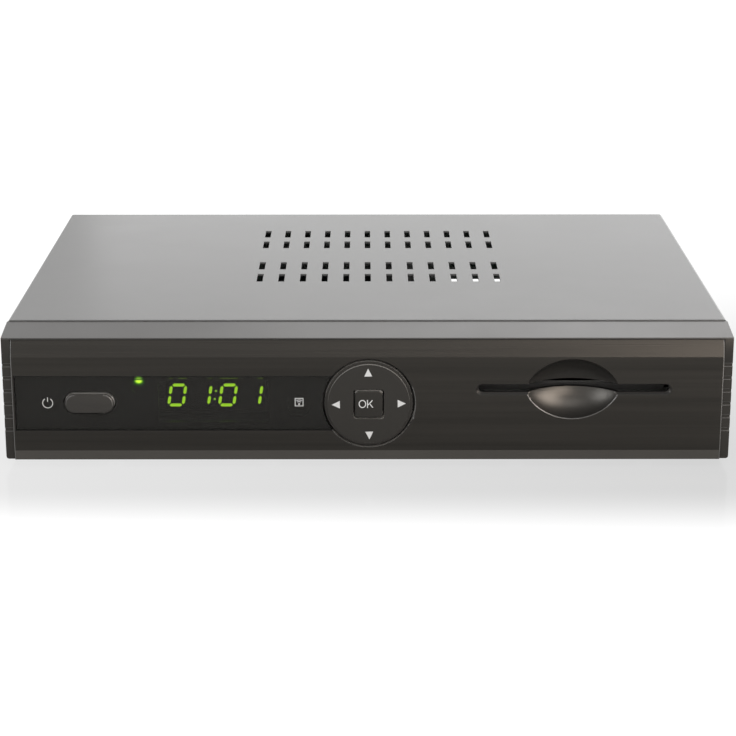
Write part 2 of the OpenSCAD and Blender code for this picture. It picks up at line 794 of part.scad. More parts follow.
module front_fascia() color("#3b3936") in_case() {
    difference() {
        union() {
            through_width(-fascia_w / 2, fascia_w / 2)
                polygon(concat(fascia_line, reversed(shifted(fascia_line, fascia_t))));
            intersection() {
                dish_shape(bowl_t);
                block([dish_x - dish_w, fascia_t - lap, 0], [dish_x + dish_w, reader_y, case_h]);
            }
        }
        dish_shape(0);
        translate([slot_x, 0, slot_z - slot_drop]) flared_slot(slot_w, slot_h - 2 * slot_drop, slot_slant);
        through_depth(-over, reader_y) {
            translate([slot_x, slot_z]) stadium(slot_w, slot_h);
            translate([window_left_x, control_z - window_h / 2]) square([pad_x - window_left_x, window_h]);
            translate([pad_x, control_z]) circle(pad_hole_r);
        }
    }
}

module display_window() color("#191817") in_case() {
    gap = window_gap;
    through_depth(window_recess, fascia_t) difference() {
        translate([window_left_x + gap, control_z - window_h / 2 + gap])
            square([pad_x - window_left_x - gap, window_h - 2 * gap]);
        translate([power_x, control_z]) stadium(power_w + 2 * power_gap, power_h + 2 * power_gap);
        translate([pad_x, control_z]) circle(pad_hole_r);
    }
}

module rubber_feet() color("#1d1d1d") in_case() {
    for (s = [-1, 1], y = [cover_front_y + foot_d, body_d - foot_d])
        bar_z(s * (body_w / 2 - foot_inset), y, foot_d, -foot_h, 0);
}

module cover_screws() color("#a9aaab") in_case() {
    for (x = cover_screw_x)
        translate([x, body_d, cover_screw_z]) rotate([-90, 0, 0]) pan_screw(case_screw_d, 6);
}

module bezel_screws() color("#a9aaab") in_case() {
    tip_out = 0.5;
    cross = [0.7, 3.4, bezel_head_h];
    for (x = bezel_tab_x)
        translate([x, bezel_screw_y, 0]) difference() {
            union() {
                bar_z(0, 0, bezel_head_d, 0, bezel_head_h);
                bar_z(0, 0, case_screw_d, bezel_head_h - lap, wall_t + sheet_t + tip_out);
            }
            for (a = [0, 90]) rotate(a) cube(cross, center = true);
        }
}

module power_button() color("#3f3d3a") in_case() {
    translate([power_x, 0, control_z])
        soft_key(power_w, power_h, power_h / 2, power_flange_y + lap, key_round);
    through_depth(power_flange_y, power_flange_y + flange_t)
        translate(power_switch_place) stadium(power_w + 2 * power_rim, power_h + 2 * power_rim);
    bar_y(power_switch_place, stem_d, power_flange_y, plunger_top_y - stem_gap);
}

module direction_pad() color("#403e3a") in_case() {
    post_end = plunger_top_y - pad_post_gap;
    difference() {
        translate([pad_x, 0, control_z]) {
            translate([0, -pad_proud, 0]) soft_disc(pad_r, pad_back_y + pad_proud, pad_round);
            bar_y([0, 0], 2 * pad_flange_r, pad_flange_y, pad_back_y);
            for (s = [-1, 1]) {
                translate([s * pad_switch_r, 0, 0]) difference() {
                    block([-post_w / 2, pad_back_y - lap, -post_h / 2], [post_w / 2, post_end, post_h / 2]);
                    bar_x(pivot_y, 0, post_pass_d, -post_w, post_w);
                }
                translate([0, 0, s * pad_switch_r])
                    block([-post_h / 2, pad_back_y - lap, -post_w / 2], [post_h / 2, post_end, post_w / 2]);
            }
            translate([0, pivot_y, 0]) {
                bar_z(0, 0, pivot_d, pad_pin_r, pad_switch_r);
                bar_z(0, 0, pivot_d, -pad_switch_r, -pad_pin_r);
            }
        }
        through_depth(-pad_proud - over, pad_back_y + over)
            translate(ok_switch_place) round_square(ok_w + 2 * ok_gap, ok_w + 2 * ok_gap, ok_r);
    }
}

module pad_pivot_ring() color("#c9c4b8") in_case() {
    translate([pad_x, 0, control_z]) difference() {
        union() {
            difference() {
                bar_y([0, 0], 2 * ring_out_r, pivot_y - ring_t / 2, pivot_y + ring_t / 2);
                bar_y([0, 0], 2 * ring_in_r, pivot_y - ring_t, pivot_y + ring_t);
            }
            bar_x(pivot_y, 0, pivot_d, pin_start_r, pin_end_x);
            bar_x(pivot_y, 0, pivot_d, -pin_end_x, -pin_start_r);
        }
        translate([0, pivot_y, 0]) bar_z(0, 0, pivot_bore_d, -pad_r, pad_r);
    }
}

module ok_button() color("#3a3835") in_case() {
    translate([pad_x, ok_front_y, control_z])
        soft_key(ok_w, ok_w, ok_r, ok_flange_y - ok_front_y + lap, key_round);
    through_depth(ok_flange_y, ok_flange_y + flange_t)
        translate(ok_switch_place) round_square(ok_flange_w, ok_flange_w, ok_r);
    bar_y(ok_switch_place, stem_d, ok_flange_y, plunger_top_y - stem_gap);
}

module front_board() color("#1f4d2e") in_case() {
    difference() {
        block([front_board_x[0], front_board_y, front_board_z[0]],
            [front_board_x[1], front_board_y + board_t, front_board_z[1]]);
        for (p = front_post_places)
            bar_y(p, board_hole_d, front_board_y - over, front_board_y + board_t + over);
    }
}

module front_board_screws() color("#a9aaab") in_case() {
    for (p = front_post_places)
        translate([p[0], front_board_y + board_t, p[1]]) rotate([-90, 0, 0]) pan_screw(board_screw_d, 7);
}

module push_switches() color("#26262a") in_case() {
    for (p = concat(pad_switch_places, [power_switch_place, ok_switch_place])) difference() {
        block([p[0] - switch_w / 2, switch_front_y, p[1] - switch_w / 2],
            [p[0] + switch_w / 2, front_board_y, p[1] + switch_w / 2]);
        bar_y(p, plunger_d + 2 * plunger_fit, switch_front_y - over, switch_bore_y);
    }
}

module power_plunger() color("#d8d6cf") in_case() {
    bar_y(power_switch_place, plunger_d, plunger_top_y, plunger_end_y);
}

module ok_plunger() color("#d8d6cf") in_case() {
    bar_y(ok_switch_place, plunger_d, plunger_top_y, plunger_end_y);
}

module pad_plungers() color("#d8d6cf") in_case() {
    for (p = pad_switch_places) bar_y(p, plunger_d, plunger_top_y, plunger_end_y);
}

module display_module() color("#141414") in_case() {
    translate([display_x, 0, control_z])
        block([-display_size[0] / 2, display_face_y, -display_size[1] / 2],
            [display_size[0] / 2, front_board_y, display_size[1] / 2]);
}

// one digit drawn by its lit bars
module digit(zero) {
    x = (digit_w - bar_w) / 2;
    z = (digit_h - bar_w) / 2;
    g = bar_gap;
    right_bars = [bar_up(x, g, z - g), bar_up(x, g - z, -g)];
    left_bars = [bar_up(-x, g, z - g), bar_up(-x, g - z, -g)];
    cross_bars = [bar_across(g - x, x - g, z), bar_across(g - x, x - g, -z)];
    for (points = zero ? concat(right_bars, left_bars, cross_bars) : right_bars) polygon(leaning(points));
}

module display_digits() color("#a6d64a") in_case() {
    through_depth(display_face_y - digit_t, display_face_y) translate([display_x, control_z]) {
        for (i = [0:3]) translate([(i - 1.5) * digit_pitch, 0]) digit(i % 2 == 0);
        for (z = [-1, 1] * dot_pitch / 2) translate([z * tan(digit_slant), z]) circle(d = dot_d);
    }
}

module standby_light() color("#4fd06a") in_case() {
    flange_h = 0.9;
    translate([led_x, led_tip_y + led_d / 2, led_z]) sphere(d = led_d);
    bar_y([led_x, led_z], led_d, led_tip_y + led_d / 2, led_base_y);
    bar_y([led_x, led_z], led_d + 2 * led_rim, led_base_y - flange_h, led_base_y);
}

module light_holder() color("#161616") in_case() {
    leads_d = led_d - 2 * led_rim;
    difference() {
        bar_y([led_x, led_z], led_d + 2 * led_rim, led_base_y, front_board_y);
        bar_y([led_x, led_z], leads_d, led_base_y - over, front_board_y + over);
    }
}

module infrared_receiver() color("#211b1c") in_case() {
    body = [6, 5.2, 7];
    lens_r = 2.2;
    lens_sunk = 1.4;
    translate([sensor_x, front_board_y - body[1], sensor_z]) {
        block([-body[0] / 2, 0, -body[2] / 2], [body[0] / 2, body[1], body[2] / 2]);
        translate([0, lens_sunk, 0]) sphere(lens_r);
    }
}

module card_reader() color("#e9e6dc") in_case() {
    mouth_l = 4;
    mouth_h = 3.4;
    pocket_h = 2;
    end_y = reader_y + reader_l;
    difference() {
        block([slot_x - reader_w / 2, reader_y, card_board_top_z],
            [slot_x + reader_w / 2, end_y, card_board_top_z + reader_h]);
        translate([slot_x, reader_y, slot_z]) {
            block([-card_w / 2, -over, -card_gap_h / 2],
                [card_w / 2, reader_l - reader_end_t, card_gap_h / 2]);
            block([-card_w / 2, -over, -mouth_h / 2], [card_w / 2, mouth_l, mouth_h / 2]);
        }
        translate([contact_x, contact_y, slot_z - card_gap_h / 2 - pocket_h])
            translate([-contact_pocket[0] / 2, -contact_pocket[1] / 2, 0])
                cube([contact_pocket[0], contact_pocket[1], pocket_h + card_gap_h / 2]);
    }
}

module card_contacts() color("#d6b45a") in_case() {
    bump_r = 0.5;
    leaf_z = slot_z - card_gap_h / 2 - 0.8;
    for (i = [-1.5, -0.5, 0.5, 1.5], s = [-1, 1]) {
        tip_y = s * contact_rows / 2;
        wall_y = s * contact_pocket[1] / 2;
        translate([contact_x + i * contact_pitch, contact_y, leaf_z]) {
            translate([-contact_size[0] / 2, min(tip_y, wall_y), 0])
                cube([contact_size[0], abs(wall_y - tip_y), contact_size[1]]);
            bar_x(tip_y, contact_size[1] / 2, 2 * bump_r, -contact_size[0] / 2, contact_size[0] / 2);
        }
    }
}

module card_board() color("#1f4d2e") in_case() {
    difference() {
        block([card_board_x[0], card_board_y[0], card_board_top_z - board_t],
            [card_board_x[1], card_board_y[1], card_board_top_z]);
        for (p = pillar_places)
            bar_z(p[0], p[1], board_hole_d, card_board_top_z - board_t - over, card_board_top_z + over);
    }
}

module card_pillars() color("#c8a24c") in_case() {
    top = card_board_top_z - board_t;
    hole_l = 8;
    for (p = pillar_places) difference() {
        bar_z(p[0], p[1], pillar_d, sheet_t, top);
        bar_z(p[0], p[1], board_hole_d, top - hole_l, top + over);
    }
}

module card_board_screws() color("#a9aaab") in_case() {
    for (p = pillar_places) translate([p[0], p[1], card_board_top_z]) pan_screw(board_screw_d, 6);
}

module main_board() color("#1f4d2e") in_case() {
    difference() {
        block([-main_board_x, main_front_y, main_board_z], [main_board_x, main_rear_y, main_top_z]);
        for (p = main_screw_places)
            bar_z(p[0], p[1], board_hole_d, main_board_z - over, main_top_z + over);
    }
}

module main_board_screws() color("#a9aaab") in_case() {
    for (p = main_screw_places)
        translate([p[0], p[1], main_top_z]) pan_screw(board_screw_d, board_t + board_lift);
}

module main_chip() color("#1b1b1d") in_case() {
    standing_block(chip_x, chip_y, main_top_z, [chip_w, chip_w, chip_h]);
}

module heat_sink() color("#2c2d2f") in_case() {
    sink_z = main_top_z + chip_h;
    step = (sink_w - sink_fin_t) / (sink_fins - 1);
    first_x = chip_x - (sink_w - sink_fin_t) / 2;
    standing_block(chip_x, chip_y, sink_z, [sink_w, sink_w, sink_base_h]);
    for (i = [0:sink_fins - 1])
        standing_block(first_x + i * step, chip_y, sink_z, [sink_fin_t, sink_w, sink_h]);
}

module memory_chips() color("#1b1b1d") in_case() {
    for (s = [-1, 1])
        standing_block(chip_x - memory_step[0], chip_y + s * memory_step[1], main_top_z, memory_size);
}

module flash_chip() color("#1b1b1d") in_case() {
    standing_block(chip_x + flash_step[0], chip_y + flash_step[1], main_top_z, flash_size);
}

module inductors() color("#3a3a3c") in_case() {
    for (x = inductor_x, y = inductor_y) standing_block(x, y, main_top_z, inductor_size);
}

module capacitors() color("#2a2f55") in_case() {
    translate([0, 0, main_top_z]) {
        for (i = [0:4])
            bar_z(small_cap_x + i * small_cap_pitch, small_cap_y, small_cap[0], 0, small_cap[1]);
        for (i = [0:2])
            bar_z(large_cap_x + i * large_cap_pitch, large_cap_y, large_cap[0], 0, large_cap[1]);
    }
}

module crystal() color("#c2c4c6") in_case() {
    translate([chip_x + crystal_step[0], chip_y + crystal_step[1], main_top_z])
        linear_extrude(crystal_size[2]) stadium(crystal_size[0], crystal_size[1]);
}

module tuner_can() color("#b9bbbd") in_case() {
    can_y = tuner_rear_y - tuner_size[1] / 2;
    inner = [tuner_size[0] - 2 * tuner_t, tuner_size[1] - 2 * tuner_t, tuner_size[2]];
    difference() {
        standing_block(tuner_x, can_y, main_top_z, tuner_size);
        standing_block(tuner_x, can_y, main_top_z + tuner_t, inner);
    }
}

module tuner_lid() color("#c6c8ca") in_case() {
    lid_y = tuner_rear_y - tuner_size[1] / 2;
    lid_z = main_top_z + tuner_size[2];
    standing_block(tuner_x, lid_y, lid_z, [tuner_size[0], tuner_size[1], tuner_t]);
    lip = 1.5;
    inset = 2 * tuner_t + fit_gap;
    standing_block(tuner_x, lid_y, lid_z - lip,
        [tuner_size[0] - inset, tuner_size[1] - inset, lip + tuner_t / 2]);
}

// a socket for an aerial lead: a tube on a collar, with a contact in its middle
module aerial_socket(x, d, contact_d, contact_back, contact_bore) {
    floor_y = tuner_rear_y + aerial_floor;
    place = [x, aerial_z];
    difference() {
        union() {
            bar_y(place, d, tuner_rear_y, aerial_end_y);
            bar_y(place, d + 2 * aerial_collar, tuner_rear_y, body_d);
        }
        bar_y(place, d - 2 * aerial_wall, floor_y, aerial_end_y + over);
    }
    difference() {
        bar_y(place, contact_d, tuner_rear_y, aerial_end_y - contact_back);
        if (contact_bore > 0) bar_y(place, contact_bore, floor_y, aerial_end_y);
    }
}

module aerial_input() color("#cfcfcd") in_case() {
    contact_d = 3.8;
    contact_back = 1.2;
    contact_bore = 2.4;
    aerial_socket(aerial_in_x, aerial_in_d, contact_d, contact_back, contact_bore);
}

module aerial_output() color("#cfcfcd") in_case() {
    contact_d = 2.35;
    contact_back = 0.5;
    aerial_socket(aerial_out_x, aerial_d, contact_d, contact_back, 0);
}

module phono_block() color("#1c1c1c") in_case() {
    difference() {
        block([phono_x[1] - phono_block_size[0] / 2, panel_in_y - phono_block_size[1], main_top_z],
            [phono_x[1] + phono_block_size[0] / 2, panel_in_y, main_top_z + phono_block_size[2]]);
        for (x = phono_x) bar_y([x, phono_z], phono_d, phono_start_y, panel_in_y + over);
    }
}

module phono_shells() color("#d2d3d4") in_case() {
    for (x = phono_x) difference() {
        bar_y([x, phono_z], phono_d, phono_start_y, phono_end_y);
        bar_y([x, phono_z], phono_core_d, phono_start_y - over, phono_end_y + over);
    }
}

// the coloured core of an audio or video socket
module phono_core(x) {
    difference() {
        bar_y([x, phono_z], phono_core_d, phono_start_y, phono_end_y - phono_core_back);
        bar_y([x, phono_z], phono_bore_d, phono_start_y + phono_floor, phono_end_y + over);
    }
}

module video_insert() color("#e2c01e") in_case() {
    phono_core(phono_x[0]);
}

module left_audio_insert() color("#ecebe6") in_case() {
    phono_core(phono_x[1]);
}

module right_audio_insert() color("#c0281f") in_case() {
    phono_core(phono_x[2]);
}

module usb_shell() color("#c9cacb") in_case() {
    start_y = socket_end_y - usb_size[1];
    translate([usb_x, 0, main_top_z]) difference() {
        block([-usb_size[0] / 2, start_y, 0], [usb_size[0] / 2, socket_end_y, usb_size[2]]);
        block([usb_wall - usb_size[0] / 2, start_y - over, usb_wall],
            [usb_size[0] / 2 - usb_wall, socket_end_y + over, usb_size[2] - usb_wall]);
    }
}

module usb_insert() color("#17181a") in_case() {
    start_y = socket_end_y - usb_size[1];
    tongue = [11.1, 9, 1.84];
    tongue_back = 1;
    tongue_top = usb_size[2] - usb_wall - 0.6;
    inside = usb_size[0] / 2 - usb_wall;
    back_l = usb_size[1] - tongue[1] - tongue_back;
    translate([usb_x, start_y, main_top_z]) {
        block([-inside, 0, usb_wall], [inside, back_l, usb_size[2] - usb_wall]);
        block([-tongue[0] / 2, back_l - lap, tongue_top - tongue[2]],
            [tongue[0] / 2, back_l + tongue[1], tongue_top]);
    }
}

// outline of the HDMI type socket, narrower below
module hdmi_outline(inset) {
    w = hdmi_size[0] / 2 - inset;
    c = hdmi_corner;
    polygon([
        [c - w, inset], [w - c, inset], [w, inset + c], [w, hdmi_size[2] - inset],
        [-w, hdmi_size[2] - inset], [-w, inset + c]
    ]);
}

module hdmi_shell() color("#c9cacb") in_case() {
    through_depth(socket_end_y - hdmi_size[1], socket_end_y) translate([hdmi_x, main_top_z]) difference() {
        hdmi_outline(0);
        hdmi_outline(hdmi_wall);
    }
}

module hdmi_insert() color("#17181a") in_case() {
    start_y = socket_end_y - hdmi_size[1];
    back_l = 4;
    tongue = [11, 6.6, 1.2];
    through_depth(start_y, start_y + back_l) translate([hdmi_x, main_top_z]) hdmi_outline(hdmi_wall);
    translate([hdmi_x, start_y + back_l - lap, main_top_z + hdmi_size[2] / 2])
        translate([-tongue[0] / 2, 0, 0]) cube(tongue);
}

module lan_shield() color("#c9cacb") in_case() {
    translate([lan_x, 0, main_top_z]) difference() {
        block([-lan_size[0] / 2, socket_end_y - lan_size[1], 0],
            [lan_size[0] / 2, socket_end_y, lan_size[2]]);
        block([lan_wall - lan_size[0] / 2, socket_end_y - lan_size[1] + lan_wall, lan_wall],
            [lan_size[0] / 2 - lan_wall, socket_end_y + over, lan_size[2] - lan_wall]);
    }
}

module lan_body() color("#1a1a1b") in_case() {
    notch = [6.4, 2];
    translate([lan_x, 0, main_top_z]) difference() {
        block([lan_wall - lan_size[0] / 2, socket_end_y - lan_size[1] + lan_wall, lan_wall],
            [lan_size[0] / 2 - lan_wall, socket_end_y - 0.1, lan_size[2] - lan_wall]);
        translate([0, socket_end_y - lan_hole[1], lan_hole_z]) {
            block([-lan_hole[0] / 2, 0, 0], [lan_hole[0] / 2, lan_hole[1] + over, lan_hole[2]]);
            block([-notch[0] / 2, 0, -notch[1]], [notch[0] / 2, lan_hole[1] + over, lap]);
        }
    }
}

module lan_contacts() color("#d6b45a") in_case() {
    size = [0.4, 9, 0.6];
    pitch = 1.02;
    top_z = main_top_z + lan_hole_z + lan_hole[2];
    for (i = [0:7])
        translate([lan_x + (i - 3.5) * pitch - size[0] / 2, socket_end_y - lan_hole[1], top_z - size[2]])
            cube(size);
}

module power_inlet() color("#1a1a1b") in_case() {
    difference() {
        block([inlet_x - inlet_size[0] / 2, socket_end_y - inlet_size[1], main_top_z],
            [inlet_x + inlet_size[0] / 2, socket_end_y, main_top_z + inlet_size[2]]);
        bar_y([inlet_x, inlet_z], inlet_bore_d, socket_end_y - inlet_deep, socket_end_y + over);
    }
}

module power_inlet_pin() color("#cfcfcd") in_case() {
    bar_y([inlet_x, inlet_z], inlet_pin_d, socket_end_y - inlet_deep, socket_end_y - inlet_pin_back);
}

module cable_connectors() color("#ece9df") in_case() {
    board_back_y = front_board_y + board_t;
    block([front_plug_x - plug_w / 2, board_back_y, front_plug_z - plug_d / 2],
        [front_plug_x + plug_w / 2, board_back_y + plug_h, front_plug_z + plug_d / 2]);
    standing_block(card_plug_x, card_plug_y, card_board_top_z, [plug_w, plug_d, plug_h]);
    for (x = [front_plug_x, card_plug_x])
        standing_block(x, main_plug_y, main_top_z, [plug_w, plug_d, plug_h]);
}

// a run of flat cable that turns down into the connector on the main board
module cable_down(from_y, z) {
    half = cable_t / 2;
    plug_top_z = main_top_z + plug_h;
    translate([from_y, z - half]) square([main_plug_y - cable_bend - from_y, cable_t]);
    cable_quarter(main_plug_y - cable_bend, z - cable_bend, 0);
    translate([main_plug_y - half, plug_top_z]) square([cable_t, z - cable_bend - plug_top_z]);
}

module front_cable() color("#8f9296") in_case() {
    through_width(front_plug_x - cable_w / 2, front_plug_x + cable_w / 2)
        cable_down(front_board_y + board_t + plug_h, front_plug_z);
}

module card_cable() color("#8f9296") in_case() {
    half = cable_t / 2;
    card_top_z = card_board_top_z + plug_h;
    through_width(card_plug_x - cable_w / 2, card_plug_x + cable_w / 2) {
        translate([card_plug_y - half, card_top_z]) square([cable_t, card_loop_z - cable_bend - card_top_z]);
        cable_quarter(card_plug_y + cable_bend, card_loop_z - cable_bend, 90);
        cable_down(card_plug_y + cable_bend, card_loop_z);
    }
}

top_cover();
base_tray();
rear_panel();
front_bezel();
front_fascia();
display_window();
rubber_feet();
cover_screws();
bezel_screws();
power_button();
direction_pad();
pad_pivot_ring();
ok_button();
front_board();
front_board_screws();
push_switches();
power_plunger();
ok_plunger();
pad_plungers();
display_module();
display_digits();
standby_light();
light_holder();
infrared_receiver();
card_reader();
card_contacts();
card_board();
card_pillars();
card_board_screws();
main_board();
main_board_screws();
main_chip();
heat_sink();
memory_chips();
flash_chip();
inductors();
capacitors();
crystal();
tuner_can();
tuner_lid();
aerial_input();
aerial_output();
phono_block();
phono_shells();
video_insert();
left_audio_insert();
right_audio_insert();
usb_shell();
usb_insert();
hdmi_shell();
hdmi_insert();
lan_shield();
lan_body();
lan_contacts();
power_inlet();
power_inlet_pin();
cable_connectors();
front_cable();
card_cable();
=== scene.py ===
import json
import math

import bmesh
import bpy
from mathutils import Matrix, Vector


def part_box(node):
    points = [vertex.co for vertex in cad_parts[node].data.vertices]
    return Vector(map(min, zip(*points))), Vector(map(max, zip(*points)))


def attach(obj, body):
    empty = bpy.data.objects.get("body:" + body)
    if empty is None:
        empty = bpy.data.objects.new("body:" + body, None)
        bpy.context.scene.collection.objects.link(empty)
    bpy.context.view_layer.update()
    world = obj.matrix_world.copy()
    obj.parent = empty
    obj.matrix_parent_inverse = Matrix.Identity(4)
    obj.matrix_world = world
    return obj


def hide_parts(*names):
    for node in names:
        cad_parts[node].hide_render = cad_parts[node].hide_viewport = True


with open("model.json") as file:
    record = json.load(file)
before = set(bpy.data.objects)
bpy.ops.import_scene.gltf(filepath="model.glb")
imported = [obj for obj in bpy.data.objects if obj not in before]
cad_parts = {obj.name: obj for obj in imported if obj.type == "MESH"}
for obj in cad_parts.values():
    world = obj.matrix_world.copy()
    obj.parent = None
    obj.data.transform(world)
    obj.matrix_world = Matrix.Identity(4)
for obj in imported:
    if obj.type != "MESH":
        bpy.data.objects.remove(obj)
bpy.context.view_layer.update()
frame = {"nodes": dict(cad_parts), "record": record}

NODES = frame["nodes"]
BODY_OF = {n: b for b, names in frame["record"]["behaviour"]["bodies"].items() for n in names}
SLOT_OF = {p["node"]: p["material_slot"] for p in frame["record"]["subparts"]}
MM = 0.001
# the flat of the fascia, the underside of the case and the middle of the pad
FACE_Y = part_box("front_fascia")[0].y
BASE_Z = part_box("front_fascia")[0].z
PAD_HUB = (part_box("direction_pad")[0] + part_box("direction_pad")[1]) / 2


def at(x, y, z):
    """A place in mm: sideways from the middle, back from the fascia, up from the underside."""
    return Vector((x * MM, FACE_Y + y * MM, BASE_Z + z * MM))


# materials

WARM = (1.0, 0.94, 0.86)


def linked(tree, kind, **values):
    node = tree.nodes.new(kind)
    for key, value in values.items():
        setattr(node, key, value)
    return node


def ramp(tree, value, span, to, curve="LINEAR"):
    """Maps a value from one span to another and stops at its ends."""
    node = linked(tree, "ShaderNodeMapRange", clamp=True, interpolation_type=curve)
    for key, number in zip(("From Min", "From Max", "To Min", "To Max"), (*span, *to)):
        node.inputs[key].default_value = number
    tree.links.new(value, node.inputs["Value"])
    return node.outputs["Result"]


def maths(tree, operation, a, b):
    node = linked(tree, "ShaderNodeMath", operation=operation)
    for socket, value in zip(node.inputs, (a, b)):
        if isinstance(value, (int, float)):
            socket.default_value = value
        else:
            tree.links.new(value, socket)
    return node.outputs["Value"]


def mixed(tree, factor, a, b):
    """The first shader where the factor is 0, the second where it is 1."""
    node = linked(tree, "ShaderNodeMixShader")
    for socket, value in zip(node.inputs, (factor, a, b)):
        tree.links.new(value, socket)
    return node.outputs["Shader"]


class Surface:
    """A Principled material and the few node patterns that the part needs."""

    def __init__(self, name, color, roughness, metallic=0.0, specular=0.5, tint=(1, 1, 1)):
        self.material = bpy.data.materials.new(name)
        self.material.use_nodes = True
        self.tree = self.material.node_tree
        self.shader = self.tree.nodes["Principled BSDF"]
        self.color = (*color, 1.0)
        self.set("Base Color", self.color)
        self.set("Roughness", roughness)
        self.set("Metallic", metallic)
        self.set("Specular IOR Level", specular)
        self.set("Specular Tint", (*tint, 1.0))
        self.heights = []
        self.material.diffuse_color = self.color

    def set(self, socket, value):
        self.shader.inputs[socket].default_value = value

    def link(self, out, socket):
        self.tree.links.new(out, socket)

    def place(self, scale=(1, 1, 1)):
        coord = linked(self.tree, "ShaderNodeTexCoord")
        mapping = linked(self.tree, "ShaderNodeMapping")
        mapping.inputs["Scale"].default_value = scale
        self.link(coord.outputs["Object"], mapping.inputs["Vector"])
        return mapping.outputs["Vector"]

    def noise(self, scale, detail=2.0, stretch=(1, 1, 1), roughness=0.5):
        node = linked(self.tree, "ShaderNodeTexNoise")
        node.inputs["Scale"].default_value = scale
        node.inputs["Detail"].default_value = detail
        node.inputs["Roughness"].default_value = roughness
        self.link(self.place(stretch), node.inputs["Vector"])
        return node.outputs["Fac"]

    def cells(self, scale, feature):
        node = linked(self.tree, "ShaderNodeTexVoronoi", feature=feature)
        node.inputs["Scale"].default_value = scale
        self.link(self.place(), node.inputs["Vector"])
        return node.outputs["Distance"]

    def reach(self, centre, radii):
        """How far a point lies from a centre, as a share of the radii; a radius of 0 counts for nothing."""
        coord = linked(self.tree, "ShaderNodeTexCoord")
        mapping = linked(self.tree, "ShaderNodeMapping")
        scale = [1 / r if r else 0.0 for r in radii]
        mapping.inputs["Scale"].default_value = scale
        mapping.inputs["Location"].default_value = [-c * k for c, k in zip(centre, scale)]
        self.link(coord.outputs["Object"], mapping.inputs["Vector"])
        size = linked(self.tree, "ShaderNodeVectorMath", operation="LENGTH")
        self.link(mapping.outputs["Vector"], size.inputs[0])
        return size.outputs["Value"]

    def span(self, value, low, high, to_low=0.0, to_high=1.0, curve="LINEAR"):
        return ramp(self.tree, value, (low, high), (to_low, to_high), curve)

    def maths(self, operation, a, b):
        return maths(self.tree, operation, a, b)

    def blend(self, factor, a, b):
        node = linked(self.tree, "ShaderNodeMix", data_type="RGBA")
        self.link(factor, node.inputs["Factor"])
        for socket, value in ((node.inputs[6], a), (node.inputs[7], b)):
            if isinstance(value, tuple):
                socket.default_value = (*value[:3], 1.0)
            else:
                self.link(value, socket)
        return node.outputs[2]

    def mottle(self, pattern, amount):
        """Lets the base colour vary by a share of itself with the pattern."""
        dark = tuple(c * (1 - amount) for c in self.color[:3])
        light = tuple(min(1.0, c * (1 + amount)) for c in self.color[:3])
        self.link(self.blend(pattern, dark, light), self.shader.inputs["Base Color"])

    def rough(self, pattern, low, high):
        self.link(self.span(pattern, 0.3, 0.7, low, high), self.shader.inputs["Roughness"])

    def bump(self, pattern, depth):
        node = linked(self.tree, "ShaderNodeBump")
        node.inputs["Distance"].default_value = depth
        node.inputs["Strength"].default_value = 1.0
        self.link(pattern, node.inputs["Height"])
        if self.heights:
            self.link(self.heights[-1], node.inputs["Normal"])
        self.heights.append(node.outputs["Normal"])
        self.link(node.outputs["Normal"], self.shader.inputs["Normal"])


def moulded(name, color, roughness, grain=2500, depth=0.00001, specular=0.5, vary=0.06, tint=(1, 1, 1)):
    """Moulded plastic, rubber or painted sheet: a fine grain and a slight unevenness."""
    s = Surface(name, color, roughness, specular=specular, tint=tint)
    fine = s.noise(grain, 3.0)
    broad = s.noise(45, 3.0)
    s.mottle(broad, vary)
    s.rough(broad, roughness * 0.92, min(1.0, roughness * 1.1))
    s.bump(fine, depth)
    return s.material


def plated(name, color, roughness, stretch=(1, 1, 1), grain=900):
    """Bare or plated metal with fine drawn marks and dull patches."""
    s = Surface(name, color, roughness, metallic=1.0)
    marks = s.noise(grain, 4.0, stretch)
    patches = s.noise(110, 3.0)
    s.mottle(patches, 0.1)
    s.rough(patches, roughness * 0.75, roughness * 1.3)
    s.bump(marks, 0.000004)
    return s.material


def circuit(name, color):
    """A coated circuit board: tracks under the mask."""
    s = Surface(name, color, 0.38)
    tracks = s.cells(330, "DISTANCE_TO_EDGE")
    lines = s.span(tracks, 0.03, 0.06)
    lighter = tuple(min(1.0, c * 1.7) for c in color)
    s.link(s.blend(lines, lighter, color), s.shader.inputs["Base Color"])
    s.bump(lines, 0.00002)
    return s.material


def glow(name, core, halo, spots):
    """A lamp's painted light in the smoked window: spots of centre (x, z), half sizes and level, in mm."""
    s = Surface(name, (0.003, 0.003, 0.003), 0.5, specular=0.1)
    total = None
    for x, z, half_w, half_h, level in spots:
        share = s.reach(at(x, 0, z), (half_w * MM, 0, half_h * MM))
        part = s.span(share, 0.15, 1.0, level, 0.0, "SMOOTHSTEP")
        total = s.maths("ADD", total, part) if total else part
    s.link(total, s.shader.inputs["Emission Strength"])
    s.link(s.blend(s.span(total, 1.0, 5.5), halo, core), s.shader.inputs["Emission Color"])
    return s.material


def lit(name, color, strength, body):
    """A lamp face: its own light over a tinted body."""
    s = Surface(name, body, 0.3)
    s.set("Emission Color", (*color, 1.0))
    s.set("Emission Strength", strength)
    s.mottle(s.noise(900, 2.0), 0.15)
    return s.material


